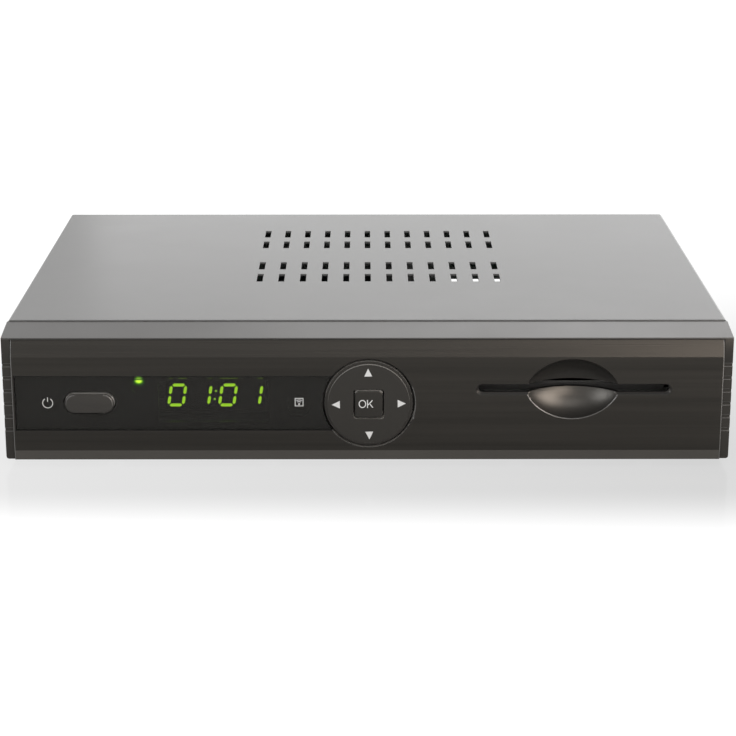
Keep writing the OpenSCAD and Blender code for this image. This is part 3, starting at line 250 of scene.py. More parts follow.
def brushed_front(name, color, specular, rough=(0.28, 0.42)):
    """Charcoal plastic with a hairline finish that runs along the width."""
    s = Surface(name, color, 0.34, specular=specular, tint=WARM)
    hair = s.noise(1.0, 2.0, (18, 2300, 2300), 0.55)
    streak = s.noise(1.0, 3.0, (8, 640, 640), 0.6)
    broad = s.noise(1.0, 2.0, (5, 150, 150), 0.5)
    both = s.maths("ADD", s.maths("MULTIPLY", streak, 0.55), s.maths("MULTIPLY", broad, 0.45))
    s.link(s.blend(s.span(both, 0.34, 0.66), tuple(c * 0.82 for c in color),
                   tuple(c * 1.2 for c in color)), s.shader.inputs["Base Color"])
    s.rough(both, *rough)
    s.bump(hair, 0.000006)
    s.bump(streak, 0.00002)
    return s.material


def smoked(name, color, alpha):
    """Smoked glossy plastic that lets the lamps behind it show."""
    s = Surface(name, color, 0.07, specular=0.165, tint=WARM)
    s.set("Alpha", alpha)
    s.mottle(s.noise(30, 2.0), 0.1)
    s.rough(s.noise(160, 3.0), 0.05, 0.09)
    return s.material


# the colours of the case and the front; the tones are linear
# the cover's grey: its dark paint, lightened by painted sheen
COVER_TONE_AND_SHEEN = (0.143, 0.141, 0.1375)
BEZEL = (0.038, 0.0357, 0.033)
# the lower facet gets a lighter copy of the fascia's colour: painted light
LIP = (0.036, 0.0336, 0.0303)
CHARCOAL = (0.0205, 0.019, 0.0168)
# lighter colours for the dish's lower rim and the fascia's ends: painted highlights
EDGE = (0.07, 0.0655, 0.0595)
FASCIA_END_HIGHLIGHT = (0.085, 0.082, 0.077)
DISH = (0.0195, 0.0183, 0.0167)
# the cheeks' fronts are darker than the rest of the bezel: painted shade
CHEEK = (0.023, 0.0215, 0.0196)
# lighter lines for the cheeks' grooves and the keys' edges: painted highlights
LINE = (0.075, 0.071, 0.066)
KEY = (0.0285, 0.0267, 0.0243)
OK_KEY = (0.023, 0.0215, 0.0195)
POWER_KEY = (0.038, 0.0357, 0.033)
M = {
    "cover_paint": moulded("cover_paint", COVER_TONE_AND_SHEEN, 0.22, 1700, 0.000005, vary=0.03),
    "tray_steel": plated("tray_steel", (0.55, 0.56, 0.56), 0.42, (0.12, 1, 1)),
    "panel_paint": moulded("panel_paint", (0.036, 0.036, 0.037), 0.45, 1700, 0.000012),
    "panel_zinc": moulded("panel_zinc", (0.62, 0.63, 0.62), 0.5, 1700, 0.000008),
    "bezel_plastic": moulded("bezel_plastic", BEZEL, 0.30, 2600, 0.000005, tint=(1.0, 0.975, 0.955)),
    "mask_black": moulded("mask_black", (0.004, 0.004, 0.004), 0.7, specular=0.1),
    "lip_painted_light": moulded("lip_painted_light", LIP, 0.34, 2600, 0.000005, 0.56, tint=WARM),
    "dish_rim_painted_highlight": moulded("dish_rim_painted_highlight", EDGE, 0.24, 2600, 0.000004),
    "fascia_end_painted_highlight": moulded("fascia_end_painted_highlight", FASCIA_END_HIGHLIGHT, 0.4, 2600, 0.000004),
    "dish_satin": moulded("dish_satin", DISH, 0.38, 2600, 0.000004, 0.42, tint=WARM),
    "dish_upper_painted_shade": moulded("dish_upper_painted_shade", DISH, 0.34, 2600, 0.000004, 0.24, tint=WARM),
    "slot_wall_painted_shade": moulded("slot_wall_painted_shade", (0.016, 0.0152, 0.014), 0.5, specular=0.14),
    "cheek_painted_shade": moulded("cheek_painted_shade", CHEEK, 0.32, 2600, 0.000005, 0.22, tint=WARM),
    "slot_edge": moulded("slot_edge", (0.03, 0.0282, 0.0258), 0.4, 2600, 0.000004, 0.05),
    "cheek_groove_painted_highlight": moulded("cheek_groove_painted_highlight", LINE, 0.4),
    # the pad's round edge: real gloss on a lighter colour that is a painted highlight
    "pad_rim_gloss_and_highlight": moulded("pad_rim_gloss_and_highlight", (0.05, 0.0477, 0.0446), 0.28, 2800, 0.000005, 0.9, tint=WARM),
    # a light grey for walls inside gaps: painted light, so the gaps look less dark than their shade
    "gap_wall_painted_light": moulded("gap_wall_painted_light", (0.3, 0.285, 0.265), 0.5),
    "key_edge": moulded("key_edge", LINE, 0.3),
    "reader_front_painted_shade": moulded("reader_front_painted_shade", (0.115, 0.11, 0.105), 0.5, specular=0.3),
    "reader_painted_shade": moulded("reader_painted_shade", (0.31, 0.299, 0.286), 0.5),
    "card_board_painted_light": moulded("card_board_painted_light", (0.26, 0.255, 0.247), 0.5),
    "fascia_brushed": brushed_front("fascia_brushed", CHARCOAL, 0.15),
    "fascia_upper": brushed_front("fascia_upper", CHARCOAL, 0.2, (0.2, 0.31)),
    "window_smoke": smoked("window_smoke", (0.022, 0.0218, 0.0203), 0.6),
    "key_plastic": moulded("key_plastic", KEY, 0.3, 2800, 0.000005, 0.165, tint=WARM),
    "ok_plastic": moulded("ok_plastic", OK_KEY, 0.3, 2800, 0.000005, 0.165, tint=WARM),
    "power_plastic": moulded("power_plastic", POWER_KEY, 0.3, 2800, 0.000005, 0.165, tint=WARM),
    "foot_rubber": moulded("foot_rubber", (0.018, 0.018, 0.018), 0.8, 1500, 0.00003),
    "screw_steel": plated("screw_steel", (0.60, 0.60, 0.61), 0.3),
    "ring_plastic": moulded("ring_plastic", (0.72, 0.70, 0.65), 0.45),
    "board_green": circuit("board_green", (0.020, 0.105, 0.045)),
    "switch_black": moulded("switch_black", (0.022, 0.022, 0.025), 0.5),
    "plunger_white": moulded("plunger_white", (0.76, 0.75, 0.70), 0.45),
    "display_black": moulded("display_black", (0.005, 0.005, 0.005), 0.6, specular=0.1),
    "digit_green": lit("digit_green", (0.42, 0.83, 0.02), 4.1, (0.20, 0.45, 0.03)),
    "dot_green": lit("dot_green", (0.40, 0.83, 0.06), 2.4, (0.20, 0.45, 0.03)),
    "light_green": lit("light_green", (0.42, 1.0, 0.035), 3.0, (0.15, 0.5, 0.05)),
    "sensor_dark": moulded("sensor_dark", (0.006, 0.0045, 0.0045), 0.4, specular=0.12),
    "nylon_white": moulded("nylon_white", (0.78, 0.76, 0.69), 0.5),
    "contact_gold": plated("contact_gold", (0.83, 0.62, 0.26), 0.22),
    "pillar_brass": plated("pillar_brass", (0.72, 0.54, 0.22), 0.28),
    "chip_black": moulded("chip_black", (0.02, 0.02, 0.022), 0.55, 3000, 0.00002),
    "sink_black": moulded("sink_black", (0.03, 0.03, 0.032), 0.35, 900, 0.00001),
    "coil_grey": moulded("coil_grey", (0.07, 0.07, 0.074), 0.6),
    "capacitor_blue": moulded("capacitor_blue", (0.03, 0.035, 0.11), 0.35),
    "can_tin": plated("can_tin", (0.66, 0.67, 0.68), 0.3, (1, 0.1, 1)),
    "socket_nickel": plated("socket_nickel", (0.70, 0.69, 0.67), 0.2),
    "socket_black": moulded("socket_black", (0.016, 0.016, 0.017), 0.42),
    "core_yellow": moulded("core_yellow", (0.80, 0.50, 0.015), 0.4),
    "core_white": moulded("core_white", (0.80, 0.79, 0.76), 0.4),
    "core_red": moulded("core_red", (0.50, 0.018, 0.014), 0.4),
    "cable_grey": moulded("cable_grey", (0.36, 0.37, 0.38), 0.5),
    "print_white": moulded("print_white", (0.72, 0.708, 0.688), 0.6, specular=0.3),
}
# the standby lamp's painted glow on the window, and its painted reflection above the window's top edge
LAMP_X = -69.2
LAMP_Z = 24.35
M["lamp_glow"] = glow("lamp_glow", (0.58, 1.0, 0.04), (0.09, 0.6, 0.004), [
    (LAMP_X, LAMP_Z + 0.3, 1.7, 1.25, 6.8),
    (LAMP_X, LAMP_Z, 2.6, 2.0, 0.6),
])
M["lamp_painted_reflection"] = glow("lamp_painted_reflection", (0.58, 1.0, 0.04), (0.24, 0.75, 0.03), [
    (LAMP_X, LAMP_Z + 0.8, 1.5, 1.15, 2.7),
    (LAMP_X, LAMP_Z + 0.6, 2.2, 1.5, 0.3),
])
# painted reflections of the digits on the window's top edge, glowing though they are no lamp
M["digit_painted_reflection"] = lit("digit_painted_reflection", (0.44, 0.83, 0.022), 0.8, (0.02, 0.04, 0.005))

# pieces


def shade(mesh):
    """Smooth shading up to the angle at which an edge counts as sharp."""
    for p in mesh.polygons:
        p.use_smooth = True
    mesh.set_sharp_from_angle(angle=math.radians(28))


def add_piece(name, mesh, body, slot, materials=None):
    for m in materials or [slot]:
        mesh.materials.append(M[m])
    ob = bpy.data.objects.new(name, mesh)
    bpy.context.scene.collection.objects.link(ob)
    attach(ob, body)
    return ob


def welded(node):
    """A copy of a CAD node's mesh with its faces joined and its flat faces made whole."""
    bm = bmesh.new()
    bm.from_mesh(NODES[node].data)
    bmesh.ops.remove_doubles(bm, verts=bm.verts, dist=2e-6)
    bmesh.ops.dissolve_limit(bm, angle_limit=math.radians(0.6), use_dissolve_boundaries=False,
                             verts=bm.verts, edges=bm.edges, delimit=set())
    return bm


def softened(node, width, segments=2, change=None, materials=None, clamp=True, crease=None):
    """Stands for a CAD node with its sharp edges broken by a small radius, in mm.

    Edges longer than the crease, in mm, stay sharp, so that flat faces look flat.
    """
    bm = welded(node)
    if change:
        change(bm)
    mesh = bpy.data.meshes.new(node + "_soft")
    bm.to_mesh(mesh)
    bm.free()
    ob = add_piece(node + ".soft", mesh, BODY_OF[node], SLOT_OF[node], materials)
    shade(mesh)
    if crease:
        for e in mesh.edges:
            ends = [mesh.vertices[i].co for i in e.vertices]
            if (ends[0] - ends[1]).length > crease * MM:
                e.use_edge_sharp = True
        even = ob.modifiers.new("even", "WEIGHTED_NORMAL")
        even.weight = 100
        even.keep_sharp = True
    if width:
        edge = ob.modifiers.new("edge", "BEVEL")
        edge.width = width * MM
        edge.segments = segments
        edge.limit_method = "ANGLE"
        edge.angle_limit = math.radians(40)
        edge.use_clamp_overlap = clamp
        edge.harden_normals = True
    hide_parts(node)


for n, ob in NODES.items():
    ob.data.materials.clear()
    ob.data.materials.append(M[SLOT_OF[n]])


def ease(bm, width, segments, material, pick):
    """Rounds the picked sharp edges by a width in mm and gives the new faces a material."""
    sharp = math.radians(32)
    edges = [e for e in bm.edges if len(e.link_faces) == 2 and e.calc_face_angle() > sharp and pick(e)]
    bmesh.ops.bevel(bm, geom=edges, offset=width * MM, offset_type="OFFSET", segments=segments, profile=0.5,
                    affect="EDGES", clamp_overlap=False, material=material, loop_slide=True)


# places on the front, in mm: sideways from the middle and up from the underside
SLOT_X, SLOT_Z, SLOT_HALF = 62.4, 22.7, (30.0, 2.4)
DISH_X, DISH_Z, DISH_HALF = 62.0, 22.6, (14.0, 9.4)
DISH_SPARE = 0.3
LIP_TOP = 3.25
UPPER_FROM = 30.0
PAD_HOLE_R = 15.0
CONTROLS_X = (-105.0, 15.0)
CONTROLS_Z = (5.0, 35.0)
CHEEK_FROM = 107.0
GROOVES_Z = (6.0, 32.0)
# pad: the inner and outer reach of its round edge
RIM_IN, RIM_OUT, FLANGE_IN = 12.3, 13.4, 13.3

FASCIA = ["fascia_brushed", "lip_painted_light", "dish_rim_painted_highlight", "dish_satin", "fascia_end_painted_highlight", "dish_upper_painted_shade",
          "slot_wall_painted_shade", "slot_edge", "fascia_upper", "gap_wall_painted_light"]
FRONT_BEZEL = ["bezel_plastic", "mask_black", "cheek_painted_shade", "cheek_groove_painted_highlight"]
PAD = ["key_plastic", "pad_rim_gloss_and_highlight", "gap_wall_painted_light"]


def up(point):
    """The height of a point over the underside, in mm."""
    return (point.z - BASE_Z) / MM


def in_dish(point):
    x = (point.x / MM - DISH_X) / (DISH_HALF[0] + DISH_SPARE)
    z = (up(point) - DISH_Z) / (DISH_HALF[1] + DISH_SPARE)
    return x * x + z * z < 1


def in_slot(point):
    return abs(point.x / MM - SLOT_X) < SLOT_HALF[0] and abs(up(point) - SLOT_Z) < SLOT_HALF[1]


def midpoint(e):
    return (e.verts[0].co + e.verts[1].co) / 2


def from_pad(point):
    """How far a point lies from the pad's axis, in mm."""
    return math.hypot(point.x - PAD_HUB.x, point.z - PAD_HUB.z) / MM


def fascia_look(f, depth):
    """The name of the material of one face of the fascia."""
    middle = f.calc_center_median()
    # the lower facet: painted light
    if f.normal.y < -0.5 and max(up(v.co) for v in f.verts) < LIP_TOP:
        return "lip_painted_light"
    if f.normal.y < -0.9 and f.normal.z > 0.05 and up(middle) > UPPER_FROM and not in_dish(middle):
        return "fascia_upper"
    # the slot's walls get a darker colour: painted shade
    if abs(f.normal.z) > 0.5 and middle.y > depth and in_slot(middle):
        return "slot_wall_painted_shade"
    # the pad hole's walls: painted light
    if abs(f.normal.y) < 0.3 and from_pad(middle) < PAD_HOLE_R:
        return "gap_wall_painted_light"
    # the dish's upper half gets less sheen than its lower half: painted shade
    if f.normal.y < -0.05 and middle.y > depth and in_dish(middle):
        return "dish_satin" if up(middle) < DISH_Z else "dish_upper_painted_shade"
    beside = CONTROLS_X[0] < middle.x / MM < CONTROLS_X[1] and CONTROLS_Z[0] < up(middle) < CONTROLS_Z[1]
    if abs(f.normal.y) < 0.1 and beside:
        return "slot_edge"
    return "fascia_brushed"


def fascia_finish(bm):
    """A plain facet below, lighter as painted light; a smoother one above; a satin dish with less sheen on
    its upper half as painted shade; painted shade on the slot's walls and painted light on the pad hole's
    walls; lighter edges as painted highlights at the dish and the ends, and dull edges at the other
    openings.
    """
    depth = FACE_Y + 0.02 * MM
    for f in bm.faces:
        f.material_index = FASCIA.index(fascia_look(f, depth))

    def fronts(e):
        near = all(v.co.y < FACE_Y + 1.6 * MM for v in e.verts)
        return near and any(f.normal.y < -0.9 for f in e.link_faces)

    def outer(e):
        return fronts(e) and any(abs(f.normal.x) > 0.9 for f in e.link_faces)

    def eased(e):
        """The upper edges of the slot and the dish stay plain, so the dish's painted highlight lies on its
        lower edge only.
        """
        middle = midpoint(e)
        upper = up(middle) > DISH_Z + 0.3 and (in_slot(middle) or in_dish(middle))
        return fronts(e) and not upper

    # the fascia's ends and the dish's lower rim get lighter colours: painted highlights
    ease(bm, 0.3, 3, FASCIA.index("fascia_end_painted_highlight"), outer)
    ease(bm, 0.2, 3, FASCIA.index("slot_edge"), lambda e: eased(e) and not in_dish(midpoint(e)))
    ease(bm, 0.2, 3, FASCIA.index("dish_rim_painted_highlight"), lambda e: eased(e) and in_dish(midpoint(e)))


def bezel_finish(bm):
    """The wall behind the window is printed black; the cheeks are duller, and darker as painted shade, with
    light lines at the grooves as painted highlights.
    """
    front = FACE_Y + 2.0 * MM
    cheek = CHEEK_FROM * MM
    face_end = FACE_Y + 3 * MM
    for f in bm.faces:
        middle = f.calc_center_median()
        if f.normal.y < -0.9 and abs(middle.y - front) < 0.05 * MM:
            f.material_index = FRONT_BEZEL.index("mask_black")
        # the cheeks' fronts: painted shade
        if f.normal.y < -0.5 and abs(middle.x) > cheek and middle.y < face_end:
            f.material_index = FRONT_BEZEL.index("cheek_painted_shade")

    # the grooves run out shallow along the sides
    side = max(v.co.x for v in bm.verts)
    for v in bm.verts:
        if side - 0.25 * MM < abs(v.co.x) < side - 0.15 * MM and v.co.y < FACE_Y + 13 * MM:
            v.co.x = math.copysign(side - 0.05 * MM, v.co.x)

    def on_cheek(point):
        return abs(point.x) > cheek and point.y < face_end and GROOVES_Z[0] < up(point) < GROOVES_Z[1]

    def groove(e, way):
        walls = any(f.normal.z * way > 0.9 for f in e.link_faces)
        faces = any(f.normal.y < -0.9 for f in e.link_faces)
        return walls and faces and e.is_convex and all(on_cheek(v.co) for v in e.verts)

    # the grooves' edges get a lighter colour: painted highlights
    line = FRONT_BEZEL.index("cheek_groove_painted_highlight")
    ease(bm, 0.19, 2, line, lambda e: groove(e, -1))
    ease(bm, 0.12, 2, line, lambda e: groove(e, 1))


def key_look(face):
    """A key's materials: its face, its front edge with a painted highlight and its walls with painted light.
    """
    return [face, "key_edge", "gap_wall_painted_light"]


def key_rim(bm):
    """The top and the ends of a key's front edge get a lighter colour, a painted highlight; its walls get
    painted light.
    """
    face, rim, wall = range(3)
    bottom = sum(v.co.z for v in bm.verts) / len(bm.verts) - 0.6 * MM
    front = min(v.co.y for v in bm.verts) + 0.01 * MM
    for f in bm.faces:
        if abs(f.normal.y) < 0.3:
            f.material_index = wall
    ease(bm, 0.2, 3, rim, lambda e: all(v.co.y < front and v.co.z > bottom for v in e.verts))
    ease(bm, 0.1, 2, face, lambda e: all(v.co.y < front for v in e.verts))


def pad_rim(bm):
    """The pad's round edge is glossy, with a lighter colour as a painted highlight; the upper part of its
    outer round gets a light grey as a painted highlight, and its walls and its flange get it as painted
    light.
    """
    side_z = PAD_HUB.z - 4 * MM
    for f in bm.faces:
        middle = f.calc_center_median()
        reach = from_pad(middle)
        raised = abs(f.normal.y) < 0.8 and reach > RIM_IN and middle.z > side_z
        if raised or abs(f.normal.y) < 0.3 or f.normal.y < -0.9 and reach > FLANGE_IN:
            f.material_index = PAD.index("gap_wall_painted_light")
        elif RIM_IN < reach < RIM_OUT and -0.97 < f.normal.y < -0.15:
            f.material_index = PAD.index("pad_rim_gloss_and_highlight")


def dim_dots(bm):
    """The two dots of the colon are weaker than the bars, and have more faces."""
    for f in bm.faces:
        reach, todo = {f}, [f]
        while todo:
            for e in todo.pop().edges:
                for other in e.link_faces:
                    if other not in reach:
                        reach.add(other)
                        todo.append(other)
        if len(reach) > 12:
            f.material_index = 1


def reader_mouth(bm):
    """The card reader, seen through the slot, gets greys in place of its white nylon as painted shade; its
    front is darker than its inside.
    """
    front = min(v.co.y for v in bm.verts) + 0.1 * MM
    for f in bm.faces:
        if f.normal.y < -0.9 and f.calc_center_median().y < front:
            f.material_index = 1


def panel_inside(bm):
    """The rear panel is painted outside only."""
    for f in bm.faces:
        if f.normal.y < -0.5:
            f.material_index = 1


def window_fit(bm):
    """Leaves a hair of air behind the window and takes its outer edges up to the fascia."""
    back = max(v.co.y for v in bm.verts)
    left = min(v.co.x for v in bm.verts)
    low = min(v.co.z for v in bm.verts)
    high = max(v.co.z for v in bm.verts)
    tiny = 1e-6
    grow = 0.075 * MM
    for v in bm.verts:
        if v.co.y > back - tiny:
            v.co.y = back - 0.04 * MM
        if v.co.x < left + tiny:
            v.co.x = left - grow
        if v.co.z < low + tiny:
            v.co.z = low - grow
        elif v.co.z > high - tiny:
            v.co.z = high + grow


softened("top_cover", 0.16, clamp=False)
softened("front_bezel", 0.09, clamp=False, change=bezel_finish, materials=FRONT_BEZEL)
softened("front_fascia", 0, change=fascia_finish, crease=8, materials=FASCIA)
softened("display_digits", 0, change=dim_dots, materials=["digit_green", "dot_green"])
softened("display_window", 0.06, change=window_fit)
softened("card_reader", 0, change=reader_mouth, materials=["reader_painted_shade", "reader_front_painted_shade"])
# the card board, seen through the slot, gets a plain grey in place of its green: painted light in the slot's
# shade
NODES["card_board"].data.materials[0] = M["card_board_painted_light"]
softened("ok_button", 0, change=key_rim, materials=key_look("ok_plastic"))
softened("power_button", 0, change=key_rim, materials=key_look("power_plastic"))
softened("direction_pad", 0.1, change=pad_rim, materials=PAD)
softened("rear_panel", 0.1, change=panel_inside, materials=["panel_paint", "panel_zinc"])
softened("base_tray", 0.15)
softened("rubber_feet", 1.0, 4)
for n, width in (
        ("cover_screws", 0.18), ("bezel_screws", 0.15), ("aerial_input", 0.2), ("aerial_output", 0.2),
        ("phono_shells", 0.15), ("usb_shell", 0.1), ("hdmi_shell", 0.1), ("lan_shield", 0.1),
        ("lan_body", 0.15), ("power_inlet", 0.2), ("power_inlet_pin", 0.2), ("heat_sink", 0.15)):
    softened(n, width)

# printed marks and films, in mm

PRINT_T = 0.03
FILM = 0.01


def flat_print(name, shapes, y, body, slot="print_white", materials=None, thick=PRINT_T):
    """A thin printed mark or film: outlines of (x, z) pairs in mm, standing out from the depth y."""
    bm = bmesh.new()
    for points in shapes:
        front = [bm.verts.new(at(x, y - thick, z)) for x, z in points]
        back = [bm.verts.new(at(x, y, z)) for x, z in points]
        bm.faces.new(front)
        bm.faces.new(list(reversed(back)))
        for i in range(len(points)):
            j = (i + 1) % len(points)
            bm.faces.new((front[j], front[i], back[i], back[j]))
    bmesh.ops.recalc_face_normals(bm, faces=bm.faces)
    mesh = bpy.data.meshes.new(name)
    bm.to_mesh(mesh)
    bm.free()
    return add_piece(name, mesh, body, slot, materials)


def ring_part(cx, cz, rx, rz, stroke, start, end, steps):
    """An arc of even stroke as one outline."""
    turn = [math.radians(start + (end - start) * i / steps) for i in range(steps + 1)]
    outer = [(cx + rx * math.cos(a), cz + rz * math.sin(a)) for a in turn]
    inner = [(cx + (rx - stroke) * math.cos(a), cz + (rz - stroke) * math.sin(a)) for a in turn]
    return outer + inner[::-1]


def stroke_line(x0, z0, x1, z1, width):
    """A straight bar as one outline."""
    d = Vector((x1 - x0, z1 - z0)).normalized() * (width / 2)
    return [(x0 - d.y, z0 + d.x), (x1 - d.y, z1 + d.x), (x1 + d.y, z1 - d.x), (x0 + d.y, z0 - d.x)]


WINDOW_Y = (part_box("display_window")[0].y - FACE_Y) / MM
PAD_Y = (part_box("direction_pad")[0].y - FACE_Y) / MM
OK_Y = (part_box("ok_button")[0].y - FACE_Y) / MM
PAD_X = 0.4
LINE_Z = 18.0

POWER_X = -96.86
flat_print("power_mark", [
    ring_part(POWER_X, LINE_Z - 0.05, 1.62, 1.62, 0.2, 122, 418, 40),
    stroke_line(POWER_X, LINE_Z + 0.35, POWER_X, LINE_Z + 1.78, 0.2),
], WINDOW_Y, "housing")

FILM_Y = (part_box("display_window")[1].y - FACE_Y) / MM - 0.005
GLOW_Y = FILM_Y - FILM - 0.002


def oval(x, z, half_w, half_h, start=0, end=360):
    """An oval, or the part of it between two angles."""
    turn = [math.radians(a) for a in range(start, end, 6)]
    return [(x + half_w * math.cos(a), z + half_h * math.sin(a)) for a in turn]


flat_print("lamp_mask", [oval(LAMP_X, LAMP_Z - 0.6, 2.8, 2.95)], FILM_Y, "housing", "light_green",
           ["mask_black"], FILM)
# films in the window: the lamp's painted glow, and its painted reflection above the window's top edge
flat_print("lamp_film", [oval(LAMP_X, LAMP_Z + 0.47, 2.4, 2.0, 180, 366)], GLOW_Y, "housing", "light_green",
           ["lamp_glow"], FILM)
flat_print("lamp_reflection_film", [oval(LAMP_X, LAMP_Z + 0.7, 1.8, 1.2, 0, 186)], GLOW_Y, "housing", "light_green",
           ["lamp_painted_reflection"], FILM)
# thin films above the digits: painted reflections of the digits on the window's top edge
DIGIT_REFLECTION_Z = 25.42
flat_print("digit_reflections_painted", [
    stroke_line(x0, DIGIT_REFLECTION_Z, x1, DIGIT_REFLECTION_Z, 0.2)
    for x0, x1 in ((-59.95, -58.95), (-57.2, -54.7), (-48.1, -47.0), (-44.6, -39.1), (-33.2, -31.6))
], FILM_Y, "housing", "digit_green", ["digit_painted_reflection"], FILM)

SENSOR_X = -20.7
SENSOR_Z = LINE_Z + 0.2
SENSOR_DOT_Z = SENSOR_Z - 0.62
BOX = 1.3
BOX_LINE = 0.22
box_mid = BOX - BOX_LINE / 2
box_in = BOX - BOX_LINE
flat_print("sensor_mark", [
    stroke_line(SENSOR_X - BOX, SENSOR_Z + box_mid, SENSOR_X + BOX, SENSOR_Z + box_mid, BOX_LINE),
    stroke_line(SENSOR_X - BOX, SENSOR_Z - box_mid, SENSOR_X + BOX, SENSOR_Z - box_mid, BOX_LINE),
    stroke_line(SENSOR_X - box_mid, SENSOR_Z - box_in, SENSOR_X - box_mid, SENSOR_Z + box_in, BOX_LINE),
    stroke_line(SENSOR_X + box_mid, SENSOR_Z - box_in, SENSOR_X + box_mid, SENSOR_Z + box_in, BOX_LINE),
    ring_part(SENSOR_X, SENSOR_DOT_Z, 0.27, 0.27, 0.26, 0, 358, 20),
    ring_part(SENSOR_X, SENSOR_DOT_Z, 0.9, 0.9, 0.19, 48, 132, 12),
    ring_part(SENSOR_X, SENSOR_DOT_Z, 1.42, 1.42, 0.19, 52, 128, 14),
], WINDOW_Y, "housing")


def arrow(turn):
    """An arrow head that points away from the pad's middle."""
    points = [(8.75, -1.2), (11.2, 0.0), (8.75, 1.2)]
    c, s = math.cos(math.radians(turn)), math.sin(math.radians(turn))
    return [(PAD_X + r * c - t * s, LINE_Z + r * s + t * c) for r, t in points]


# the printing on the pad is turned by a degree
flat_print("pad_arrows", [arrow(t + 1) for t in (0, 90, 180, 270)], PAD_Y, "direction_pad")

OK_X = PAD_X - 0.84
OK_Z = LINE_Z + 0.2
OK_STROKE = 0.29
K_X = OK_X + 0.46
flat_print("ok_mark", [
    ring_part(OK_X - 1.08, OK_Z, 1.13, 1.27, OK_STROKE, 0, 359, 48),
    stroke_line(K_X, OK_Z - 1.25, K_X, OK_Z + 1.25, OK_STROKE),
    stroke_line(K_X + 0.14, OK_Z - 0.35, K_X + 1.5, OK_Z + 1.16, OK_STROKE),
    stroke_line(K_X + 0.6, OK_Z + 0.16, K_X + 1.6, OK_Z - 1.14, OK_STROKE),
], OK_Y, "ok_button")

# stage, light and camera


def plainly_seen(tree):
    """1 for rays that show the background: straight, mirrored or through glass."""
    path = linked(tree, "ShaderNodeLightPath")
    total = path.outputs["Is Camera Ray"]
    for kind in ("Is Glossy Ray", "Is Transmission Ray"):
        total = maths(tree, "MAXIMUM", total, path.outputs[kind])
    return total


def floor_material():
    """White paper: bright to the eye, darkened near the object by a painted shadow and a painted reflection,
    with a faint real shadow and a soft real reflection before the object.
    """
    m = bpy.data.materials.new("floor_white")
    m.use_nodes = True
    t = m.node_tree
    t.nodes.clear()
    out = linked(t, "ShaderNodeOutputMaterial")
    paper = linked(t, "ShaderNodeBsdfDiffuse")
    paper.inputs["Color"].default_value = (0.86, 0.86, 0.86, 1)
    faint = linked(t, "ShaderNodeBsdfDiffuse")
    faint.inputs["Color"].default_value = (0.05, 0.05, 0.05, 1)
    gloss = linked(t, "ShaderNodeBsdfGlossy")
    gloss.inputs["Roughness"].default_value = 0.12
    coord = linked(t, "ShaderNodeTexCoord")
    split = linked(t, "ShaderNodeSeparateXYZ")
    t.links.new(coord.outputs["Object"], split.inputs[0])
    x, y = split.outputs["X"], split.outputs["Y"]

    # how bright the paper looks: away from the viewer, towards the viewer and across; the darkening near the
    # object is a painted shadow and reflection, and the right is painted darker than the left
    near = FACE_Y - 18 * MM
    behind = ramp(t, y, (FACE_Y, FACE_Y + 300 * MM), (0.73, 1.1), "SMOOTHSTEP")
    before = ramp(t, y, (FACE_Y - 70 * MM, near), (0.4, 0.0), "SMOOTHSTEP")
    across = ramp(t, x, (-0.13, 0.13), (0.075, -0.075))
    white = linked(t, "ShaderNodeEmission")
    level = maths(t, "ADD", maths(t, "ADD", behind, before), across)
    t.links.new(level, white.inputs["Strength"])
    seen = linked(t, "ShaderNodeAddShader")
    t.links.new(white.outputs[0], seen.inputs[0])
    t.links.new(faint.outputs[0], seen.inputs[1])

    fade = ramp(t, y, (FACE_Y - 64 * MM, near), (0.0, 0.05), "SMOOTHSTEP")
    shiny = mixed(t, fade, seen.outputs[0], gloss.outputs[0])
    t.links.new(mixed(t, plainly_seen(t), paper.outputs[0], shiny), out.inputs["Surface"])
    return m


def make_floor():
    """A wide flat sheet under the object."""
    bm = bmesh.new()
    half = 6.0
    corners = [bm.verts.new((x * half, y * half, 0.0)) for x, y in ((-1, -1), (1, -1), (1, 1), (-1, 1))]
    bm.faces.new(corners)
    mesh = bpy.data.meshes.new("floor")
    bm.to_mesh(mesh)
    bm.free()
    mesh.materials.append(floor_material())
    ob = bpy.data.objects.new("floor", mesh)
    bpy.context.scene.collection.objects.link(ob)


def make_world():
    """A white room, dimmer towards the viewer's side."""
    world = bpy.data.worlds.new("room")
    bpy.context.scene.world = world
    world.use_nodes = True
    t = world.node_tree
    t.nodes.clear()
    out = linked(t, "ShaderNodeOutputWorld")
    coord = linked(t, "ShaderNodeTexCoord")
    split = linked(t, "ShaderNodeSeparateXYZ")
    t.links.new(coord.outputs["Generated"], split.inputs[0])
    depth = ramp(t, split.outputs["Y"], (-0.7, 0.7), (0.72, 0.92), "SMOOTHSTEP")
    side = ramp(t, split.outputs["X"], (-1.0, 1.0), (0.9, 1.1))
    room = linked(t, "ShaderNodeBackground")
    t.links.new(maths(t, "MULTIPLY", depth, side), room.inputs["Strength"])
    pale = linked(t, "ShaderNodeBackground")
    t.links.new(mixed(t, plainly_seen(t), room.outputs[0], pale.outputs[0]), out.inputs["Surface"])


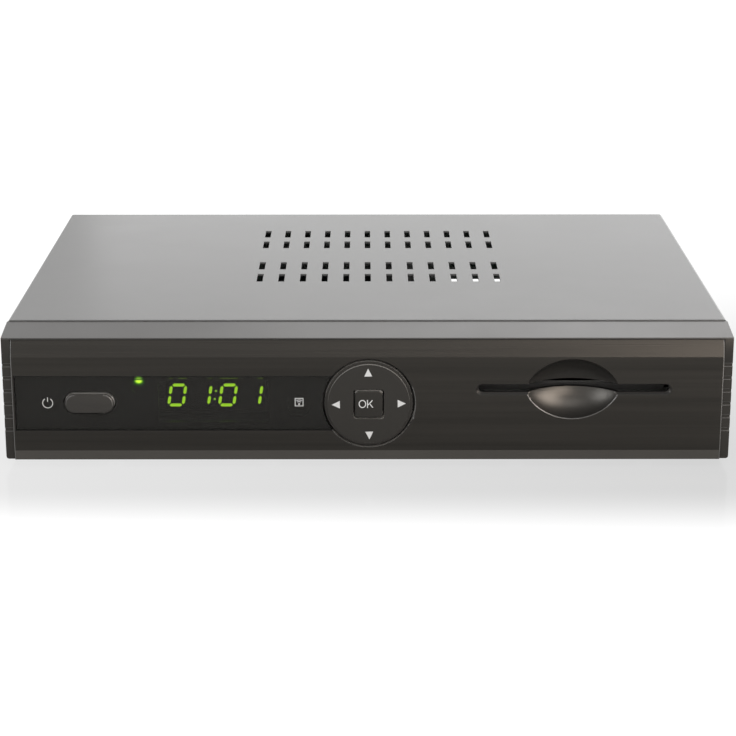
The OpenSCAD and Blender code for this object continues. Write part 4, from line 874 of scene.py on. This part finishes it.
def softbox(name, place, size, radiance, color=(1, 1, 1), target=(0, 0, 0.02), accent=False):
    """A lamp of even brightness that faces the object and isn't seen itself.

    An accent gives highlights on the front pieces only, so that the cover shows no glare from behind.
    """
    data = bpy.data.lights.new(name, "AREA")
    data.shape = "RECTANGLE"
    data.size, data.size_y = size
    data.energy = radiance * math.pi * size[0] * size[1]
    data.color = color
    ob = bpy.data.objects.new(name, data)
    ob.location = place
    ob.rotation_mode = "QUATERNION"
    ob.rotation_quaternion = (Vector(target) - Vector(place)).to_track_quat("-Z", "Y")
    ob.visible_camera = False
    if accent:
        ob.visible_diffuse = False
        ob.light_linking.receiver_collection = front_pieces
    bpy.context.scene.collection.objects.link(ob)


front_pieces = bpy.data.collections.new("front_pieces")
for n in ("front_fascia", "front_bezel", "display_window", "power_button", "direction_pad", "ok_button"):
    front_pieces.objects.link(bpy.data.objects[n + ".soft"])

make_floor()
make_world()
softbox("overhead", (0.15, -0.72, 0.98), (0.9, 0.4), 3.0)
softbox("back_left", (-0.5, 1.2, 1.0), (0.76, 0.9), 0.7, target=(-0.5, 0, 0.02))
softbox("back_middle", (0.01, 1.2, 1.0), (0.26, 0.9), 1.6, target=(0.01, 0, 0.02))
softbox("back_right", (0.54, 1.2, 1.0), (0.8, 0.9), 2.1, target=(0.54, 0, 0.02))
softbox("back_low", (0.48, 1.25, 0.195), (1.5, 0.34), 0.62, target=(0.48, 0, 0.02))
softbox("front_wide", (0, -1.3, 0.32), (1.9, 0.54), 0.85)
softbox("front_right", (0.68, -1.3, 0.28), (0.86, 0.54), 10.0, (1.0, 0.88, 0.78), accent=True)
softbox("right_warm", (1.07, -0.62, 0.70), (0.95, 0.95), 12.6, (1.0, 0.9, 0.82), accent=True)
softbox("left_cool", (-0.94, -0.585, 0.455), (0.62, 0.62), 9.0, (0.94, 0.97, 1.0), accent=True)

CAMERA_PLACE = (-1.30 * MM, -696.88 * MM, 214.88 * MM)
CAMERA_PITCH = 16.67
CAMERA_YAW = -0.138
lens = bpy.data.cameras.new("camera")
lens.lens = 103.70
lens.sensor_width = 36.0
lens.clip_start = 0.01
camera = bpy.data.objects.new("camera", lens)
camera.location = CAMERA_PLACE
camera.rotation_euler = (math.radians(90 - CAMERA_PITCH), 0, math.radians(CAMERA_YAW))
bpy.context.scene.collection.objects.link(camera)
bpy.context.scene.camera = camera
bpy.context.scene.view_settings.view_transform = "Standard"
